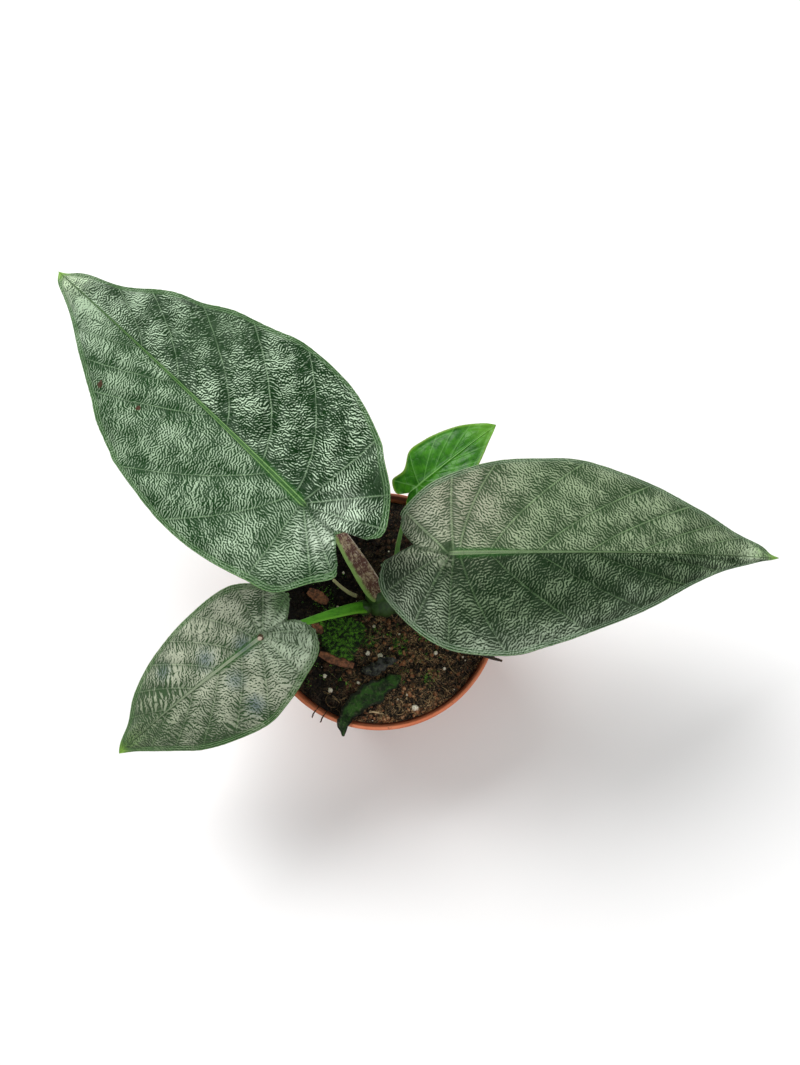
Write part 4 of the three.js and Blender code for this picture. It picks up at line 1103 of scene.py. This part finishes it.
# Crumbs turn black where lit_ground paints the shade of the leaves.
colour = crumb.mix(shade.ramp(0.35, 1.0) * lit_share, (0.0025, 0.0015, 0.001), (0.26, 0.10, 0.042))
colour = crumb.mix(fleck.ramp(0.48, 0.62) * (shade * 0.8 + 0.1) * lit_share, colour, (0.50, 0.33, 0.18))
crumb.cover(crumb_piece, Base_Color=colour, Normal=crumb.bump(fleck, 0.8, 0.0004))

PERLITE_SEEN = [
    (-5.9, -21.5, 1.6), (0.4, -23, 1.5), (-27.4, -33, 1.5), (-24.6, -39.9, 1.5), (17.8, -48.9, 2.2),
    (28.4, -21.6, 1.4), (2.8, -13, 1.1), (-2.7, -7.9, 1.1),
]
draw = np.random.default_rng(9)
places = np.vstack([np.array(PERLITE_SEEN)[:, :2], spots(draw, PERLITE_GRAINS, bare)])
more_sizes = 0.35 + 0.8 * draw.uniform(0, 1, PERLITE_GRAINS) ** 2
sizes = np.concatenate([np.array(PERLITE_SEEN)[:, 2], more_sizes])
perlite = scattered("perlite_grains", places, sizes, (0.75, 1.1), 10, 0.12)
fit(perlite)
white = Finish("perlite", Roughness=0.8)
place, shade = white.place(), white.attribute("shade")
pit = white.noise(place, 1300.0, 3.0, 0.6)
colour = white.mix(pit.ramp(0.35, 0.6), (0.48, 0.40, 0.28), (0.90, 0.86, 0.72))
colour = white.mix(shade.ramp(0.55, 1.0) * 0.5, colour, (0.35, 0.24, 0.14))
white.cover(perlite, Base_Color=colour, Normal=white.bump(pit, 1.0, 0.0004))

# Moss: a cushion of short green shoots at the foot of the plant and small tufts beside it. Each shoot is a
# tiny three-sided spike that grows out of the soil.
MOSS_TRIES = 150000
MOSS_SHOOTS = 13000
MOSS_TUFTS = [
    (-27, 9, 3.2), (8.5, -16, 3.0), (11, -20.5, 3.2), (-5.5, -15.5, 3.8), (-30.5, 4, 2.6), (24, -34, 2.4),
]


def moss_cover(x, y):
    """How mossy a place is: the cushion, and a bell round each tuft."""
    ragged = 0.7 * lumps(x, y, 3.0, 61) + 0.5 * lumps(x, y, 1.4, 62)
    cover = smooth(0.1, 1.1, moss_rise(x, y) + ragged)
    for tuft_x, tuft_y, wide in MOSS_TUFTS:
        cover = np.maximum(cover, bell(np.hypot(x - tuft_x, y - tuft_y), wide))
    return cover


draw = np.random.default_rng(14)
tries = np.stack([draw.uniform(-40, 30, MOSS_TRIES), draw.uniform(-40, 20, MOSS_TRIES)], -1)
tries = tries[draw.uniform(0, 1, len(tries)) < moss_cover(*tries.T) ** 2][:MOSS_SHOOTS]
count = len(tries)
base_turn = draw.uniform(0, 2 * np.pi, (count, 1)) + np.array([0, 2.1, 4.2])
thick = draw.uniform(0.16, 0.34, (count, 1))
foot = np.stack([
    tries[:, :1] + thick * np.cos(base_turn), tries[:, 1:] + thick * np.sin(base_turn),
    np.repeat(soil_height(*tries.T)[:, None] - 0.25, 3, 1),
], -1)
lean = draw.normal(0, 0.55, (count, 2))
tall = draw.uniform(0.5, 1.5, count) * (0.6 + 0.4 * moss_cover(*tries.T))
tip = np.column_stack([tries + lean * tall[:, None], foot[:, 0, 2] + 0.25 + tall])
table = np.concatenate([foot, tip[:, None]], 1).reshape(-1, 3)
spike = np.array([(0, 2, 1), (0, 1, 3), (1, 2, 3), (2, 0, 3)])
faces = (spike[None] + 4 * np.arange(count)[:, None, None]).reshape(-1, 3)
moss_piece = new_piece("moss_shoots", table * MM, faces)
mark(moss_piece, "height", np.tile([0.0, 0.0, 0.0, 1.0], count))
mark(moss_piece, "shade", np.repeat(draw.uniform(0, 1, count), 4))
fit(moss_piece)
shoot = Finish("moss_shoot", Roughness=0.6)
place, shade, height = shoot.place(), shoot.attribute("shade"), shoot.attribute("height")
clump = shoot.noise(place, 620.0, 3.0, 0.6)
colour = shoot.mix(clump.ramp(0.35, 0.65), (0.001, 0.007, 0.001), (0.020, 0.095, 0.008))
lit = height.ramp(0.15, 0.7) * shade.ramp(0.1, 0.7) * clump.ramp(0.44, 0.58)
colour = shoot.mix(lit, colour, (0.34, 0.85, 0.08))
shoot.cover(moss_piece, Base_Color=colour, Roughness=0.45 + clump * 0.4)

# Fibres: thin roots, coir and straw that lie over the soil, one pale twig near the rim, and root hairs that
# hang over the rim. Each is a three-sided thread, drawn in at both ends.
FIBRES = 620
THREAD_STEPS = 6
PALE_TWIG = [(-6, -51.3), (2.4, -51.4)]


def threads(name, paths, thick):
    """Three-sided threads through paths of points: rings of three corners, closed to points at the ends."""
    count, steps = paths.shape[:2]
    tangent = np.gradient(paths, axis=1)
    tangent /= np.linalg.norm(tangent, axis=2, keepdims=True)
    side = np.cross(tangent, (0.3, 0.2, 0.93))
    side /= np.linalg.norm(side, axis=2, keepdims=True)
    front = np.cross(tangent, side)
    taper = np.sqrt(np.sin(np.linspace(0.25, np.pi - 0.25, steps)))[None, :, None]
    radius = thick[:, None, None] * taper
    corners = [paths + radius * (side * math.cos(a) + front * math.sin(a)) for a in (0, 2.094, 4.189)]
    table = np.stack(corners, 2).reshape(-1, 3)
    i, j = np.meshgrid(np.arange(steps - 1), np.arange(3), indexing="ij")
    k = (j + 1) % 3
    quads = np.stack([3 * i + j, 3 * i + k, 3 * i + 3 + k, 3 * i + 3 + j], -1).reshape(-1, 4)
    each = np.concatenate([quads[:, [0, 1, 2]], quads[:, [0, 2, 3]], [(0, 2, 1)],
                           [(3 * steps - 3, 3 * steps - 2, 3 * steps - 1)]])
    faces = (each[None] + 3 * steps * np.arange(count)[:, None, None]).reshape(-1, 3)
    piece = new_piece(name, table * MM, faces)
    mark(piece, "shade", np.repeat(np.random.default_rng(3).uniform(0, 1, count), 3 * steps))
    return piece


def flecked(name, piece, scale, rough, low, high):
    """Matt finish that goes from one colour to another with a noise."""
    finish = Finish(name, Roughness=rough)
    fleck = finish.noise(finish.place(), scale)
    finish.cover(piece, Base_Color=finish.mix(fleck, low, high))


draw = np.random.default_rng(21)
places = spots(draw, FIBRES, lambda x, y: bare(x, y) & (x - 0.7 * y + 12 * lumps(x, y, 9.0, 71) > -4))
count = len(places)
walk = np.linspace(-0.5, 0.5, THREAD_STEPS)[None, :]
heading = draw.uniform(0, 2 * np.pi, (count, 1)) + draw.uniform(-2.2, 2.2, (count, 1)) * walk
reach = draw.uniform(2.5, 11, (count, 1))
x = places[:, :1] + reach * walk * np.cos(heading)
y = places[:, 1:] + reach * walk * np.sin(heading)
inside = np.minimum(1, SPREAD_RADIUS / np.maximum(np.hypot(x, y), 1))
x, y = x * inside, y * inside
z = soil_height(x, y) + 0.25 + draw.uniform(0, 0.9, (count, 1)) * np.cos(np.pi * walk)
straw = threads("soil_fibres", np.stack([x, y, z], -1), draw.uniform(0.1, 0.27, count))
fit(straw)
thread_walk = np.linspace(0, 1, THREAD_STEPS)
twig_x = PALE_TWIG[0][0] + (PALE_TWIG[1][0] - PALE_TWIG[0][0]) * thread_walk
twig_y = PALE_TWIG[0][1] + 0.5 * np.sin(5 * thread_walk)
twig_path = np.stack([twig_x, twig_y, soil_height(twig_x, twig_y) + 0.7], -1)
pale_twig = threads("pale_twig", twig_path[None], np.array([0.5]))
fit(pale_twig)
# Root hairs: their places round the rim, and how far out and how high their points lie.
hair_turn = np.radians([-121.6, -117.0, -22.5])
hair_out = np.array([56.5, 59.6, 61.4, 62.3, 62.9, 63.1])
hair_high = np.array([101.0, 104.8, 104.6, 102.5, 99.5, 96.5])
draw = np.random.default_rng(22)
swing = draw.uniform(-0.02, 0.02, (len(hair_turn), 1)) * thread_walk**2 + hair_turn[:, None]
fall = np.maximum(hair_high, 104.5 + (hair_high - 104.5) * draw.uniform(0.4, 1.2, (len(hair_turn), 1)))
fall[:, 0] = hair_high[0]
hairs = np.stack([hair_out * np.cos(swing), hair_out * np.sin(swing), fall], -1)
root_hairs = threads("root_hairs", hairs, draw.uniform(0.3, 0.5, len(hair_turn)))
fit(root_hairs)
fibre = Finish("dry_fibre", Roughness=0.7)
place, shade = fibre.place(), fibre.attribute("shade")
fleck = fibre.noise(place, 700.0, 3.0)
colour = fibre.mix(shade.ramp(0.35, 1.0), (0.030, 0.016, 0.008), (0.42, 0.28, 0.13))
fibre.cover(straw, Base_Color=fibre.mix(fleck * 0.5, colour, (0.03, 0.02, 0.01)))
flecked("pale_straw", pale_twig, 900.0, 0.7, (0.42, 0.30, 0.15), (0.62, 0.50, 0.30))
flecked("root_hair", root_hairs, 500.0, 0.8, (0.010, 0.006, 0.004), (0.10, 0.045, 0.02))

# Bark chips and the twig over the rim: flat reddish splinters with broken ends and lengthwise grain, and a
# dark twig. They lie pressed into the soil.
CHIP_STEPS = 60
CHIP_SIDES = 32


def over_soil(x, y, lift):
    """Point at a lift over the rolling level of the soil."""
    return (x, y, float(ground(x, y)) + lift)


CHIPS = {
    "bark_chip_long": dict(
        points=[over_soil(-29.8, -21.9, 2.6), over_soil(-21, -25.6, 2.6), over_soil(-12.7, -28, 2.3)],
        wide=2.2, thick=2.0, seed=41,
    ),
    "bark_chip_left": dict(
        points=[over_soil(-36, 10, 2.5), over_soil(-31, 7, 2.7), over_soil(-26, 4, 2.4)],
        wide=2.8, thick=1.9, seed=42,
    ),
    "bark_chip_small": dict(
        points=[over_soil(-33.4, -6.4, 2.4), over_soil(-31, -8.8, 2.5), over_soil(-28.4, -11.4, 2.6)],
        wide=1.9, thick=1.6, seed=43,
    ),
    "rim_twig": dict(
        points=[over_soil(44, -20.5, 4), (50, -22.8, 106), (55, -24.6, 106.9), (61, -26.4, 105.8)],
        wide=0.9, thick=1.7, seed=44,
    ),
}


def chip_girth(wide, thick, seed):
    """Flat oval, squared a little, with tapered broken ends, lengthwise ridges and seeded roughness."""
    def girth(share, angle):
        end = 0.35 + 0.65 * np.sin(np.pi * np.clip(share, 0.04, 0.96)) ** 0.5
        rough = 1 + 0.22 * lumps(share * 9, angle * 1.6, 0.8, seed)
        rough = rough + 0.1 * lumps(share * 30, angle * 5, 1.0, seed + 9)
        ridge = 1 + 0.1 * np.sin(7 * angle + 2 * np.sin(6 * share))
        square = 1 / np.maximum(np.abs(np.cos(angle)), np.abs(np.sin(angle))) ** 0.35
        return wide * end * rough * square, thick / 2 * end * rough * ridge * square, 0
    return girth


splinters = []
for node, chip in CHIPS.items():
    girth = chip_girth(chip["wide"], chip["thick"], chip["seed"])
    table, faces, _, _ = stalk_table(chip["points"], girth, CHIP_STEPS, CHIP_SIDES)
    piece = new_piece(node + "_bark", table * MM, faces)
    fit(piece, node)
    splinters.append(piece)
*bark_chips, rim_twig = splinters
bark = Finish("bark", Roughness=0.85)
place = bark.place()
grain, fleck = bark.noise(place, 380.0, 5.0, 0.7), bark.noise(place, 1200.0, 3.0, 0.6)
colour = bark.mix(grain.ramp(0.35, 0.68), (0.055, 0.021, 0.011), (0.36, 0.135, 0.062))
colour = bark.mix(fleck.ramp(0.55, 0.75) * 0.6, colour, (0.36, 0.20, 0.11))
bark.cover(*bark_chips, Base_Color=colour, Normal=bark.bump(grain + fleck * 0.5, 0.8, 0.0005))
wood = Finish("dark_twig", Roughness=0.85)
grain = wood.noise(wood.place(), 500.0, 5.0, 0.7)
colour = wood.mix(grain.ramp(0.35, 0.7), (0.010, 0.007, 0.005), (0.09, 0.055, 0.03))
wood.cover(rim_twig, Base_Color=colour, Normal=wood.bump(grain, 0.8, 0.0004))

# Dead leaf and black scrap: a limp, creased old blade over the soil whose tail hangs over the rim, and a
# crumpled black remnant beside it. Thin sheets that sag in folds.
DEAD_STEPS = 160
DEAD_SIDES = 48
DEAD = {
    "dead_leaf": dict(
        points=[over_soil(11, -33.5, 3.4), over_soil(3, -38, 3), over_soil(-7, -44, 2.9),
                over_soil(-14.5, -51, 3.6), (-17, -57, 106), (-17.2, -63, 105.4)],
        wide=5.6, thick=1.4, crease=0.5, seed=51, specks_and_glints=0.22,
    ),
    "black_scrap": dict(
        points=[over_soil(-9.5, -30.5, 2.8), over_soil(-3, -30, 3.6), over_soil(3, -26.4, 3.4),
                over_soil(9, -25.4, 2.8)],
        wide=3.2, thick=1.6, crease=0.7, seed=52, specks_and_glints=0.5,
    ),
}


def dead_girth(wide, thick, crease, seed):
    """Thin leaf shape with a wavy, torn margin, shifted to the front in folds that run out to the margin."""
    def girth(share, angle):
        torn = 1 + 0.12 * np.sin(23 * share) + 0.2 * lumps(share * 14, np.sign(np.cos(angle)) * 5, 0.7, seed)
        half = wide * (0.12 + 0.88 * np.sin(np.pi * share**0.8) ** 0.8) * torn
        across = np.cos(angle)
        crumple = 0.8 * lumps(share * 9, across * 1.7 + 4, 0.6, seed + 1)
        folds = crease * (np.sin(13 * share + 2.5 * across) + crumple)
        thin = 0.5 + 0.5 * np.sin(np.pi * np.clip(share, 0.02, 0.98)) ** 0.3
        return half, thick / 2 * thin, folds * 0.8
    return girth


for node, dead in DEAD.items():
    girth = dead_girth(dead["wide"], dead["thick"], dead["crease"], dead["seed"])
    table, faces, share, angle = stalk_table(dead["points"], girth, DEAD_STEPS, DEAD_SIDES)
    piece = new_piece(node + "_sheet", table * MM, faces)
    mark(piece, "share", share)
    mark(piece, "across", np.cos(angle))
    fit(piece, node)
    decay = Finish(node + "_decay", Roughness=0.6, Specular_IOR_Level=0.2)
    place = decay.place()
    cloud, fleck = decay.noise(place, 230.0, 5.0, 0.65), decay.noise(place, 900.0, 3.0, 0.6)
    across, share = abs(decay.attribute("across")), decay.attribute("share")
    if node == "dead_leaf":
        colour = decay.mix(cloud.ramp(0.38, 0.62), (0.005, 0.018, 0.003), (0.024, 0.085, 0.008))
        rotten = (across + (cloud - 0.5) * 1.4 + share * 0.35).ramp(0.82, 1.02)
        colour = decay.mix(rotten * 0.92, colour, (0.006, 0.005, 0.004))
    else:
        colour = decay.mix(cloud.ramp(0.42, 0.62), (0.004, 0.004, 0.004), (0.07, 0.073, 0.068))
    # Olive-grey specks: the dead leaf's own grain, and painted glints on the black scrap.
    colour = decay.mix(fleck.ramp(0.54, 0.62) * dead["specks_and_glints"], colour, (0.16, 0.17, 0.10))
    bump = decay.bump(cloud + fleck * 0.7, 1.0, 0.0009)
    decay.cover(piece, Base_Color=colour, Roughness=0.4 + fleck * 0.4, Normal=bump)

# Camera, floor and light: a plain pale floor under soft studio light. The camera looks down on the plant
# from about 62 cm over the rim, as in the photograph.
FLOOR_HALF = 3.0
WORLD_STRENGTH = 0.42
LIGHT_AIM = (0, 0, 0.15)
CAMERA_PLACE = (0.0283, -0.0872, 0.7172)
CAMERA_AIM = (0.010525, 0.039066, 0.104)
FOCAL_PIXELS = 1235.0
IMAGE_HEIGHT = 1065.0
SENSOR = 36.0

corners = np.array([(-1, -1, 0), (1, -1, 0), (1, 1, 0), (-1, 1, 0)]) * FLOOR_HALF
floor = new_piece("floor", corners, [(0, 1, 2, 3)])
flecked("pale_floor", floor, 3.0, 0.9, (0.80, 0.80, 0.80), (0.84, 0.84, 0.84))

world = bpy.data.worlds.new("studio")
world.use_nodes = True
sky = world.node_tree.nodes["Background"].inputs
sky["Color"].default_value = (1.0, 1.0, 1.0, 1.0)
sky["Strength"].default_value = WORLD_STRENGTH
bpy.context.scene.world = world
bpy.context.scene.view_settings.view_transform = "Standard"
LIGHTS = {
    "key_light": ((-0.52, 0.68, 1.45), 0.7, 27.0),
    "fill_light": ((0.9, -0.2, 1.5), 1.4, 10.0),
}
for name, (spot, size, power) in LIGHTS.items():
    lamp = bpy.data.lights.new(name, "AREA")
    lamp.size, lamp.energy = size, power
    lit = bpy.data.objects.new(name, lamp)
    lit.location = spot
    lit.rotation_euler = (Vector(LIGHT_AIM) - Vector(spot)).to_track_quat("-Z", "Y").to_euler()
    bpy.context.collection.objects.link(lit)

lens = bpy.data.cameras.new("camera")
lens.sensor_width = SENSOR
lens.lens = FOCAL_PIXELS / IMAGE_HEIGHT * SENSOR
camera = bpy.data.objects.new("camera", lens)
camera.location = CAMERA_PLACE
ahead = (Vector(CAMERA_AIM) - Vector(CAMERA_PLACE)).normalized()
across = ahead.cross(Vector((0, 1, 0))).normalized()
turned = Matrix((across, across.cross(ahead), -ahead)).transposed()
camera.rotation_euler = turned.to_euler()
bpy.context.collection.objects.link(camera)
bpy.context.scene.camera = camera
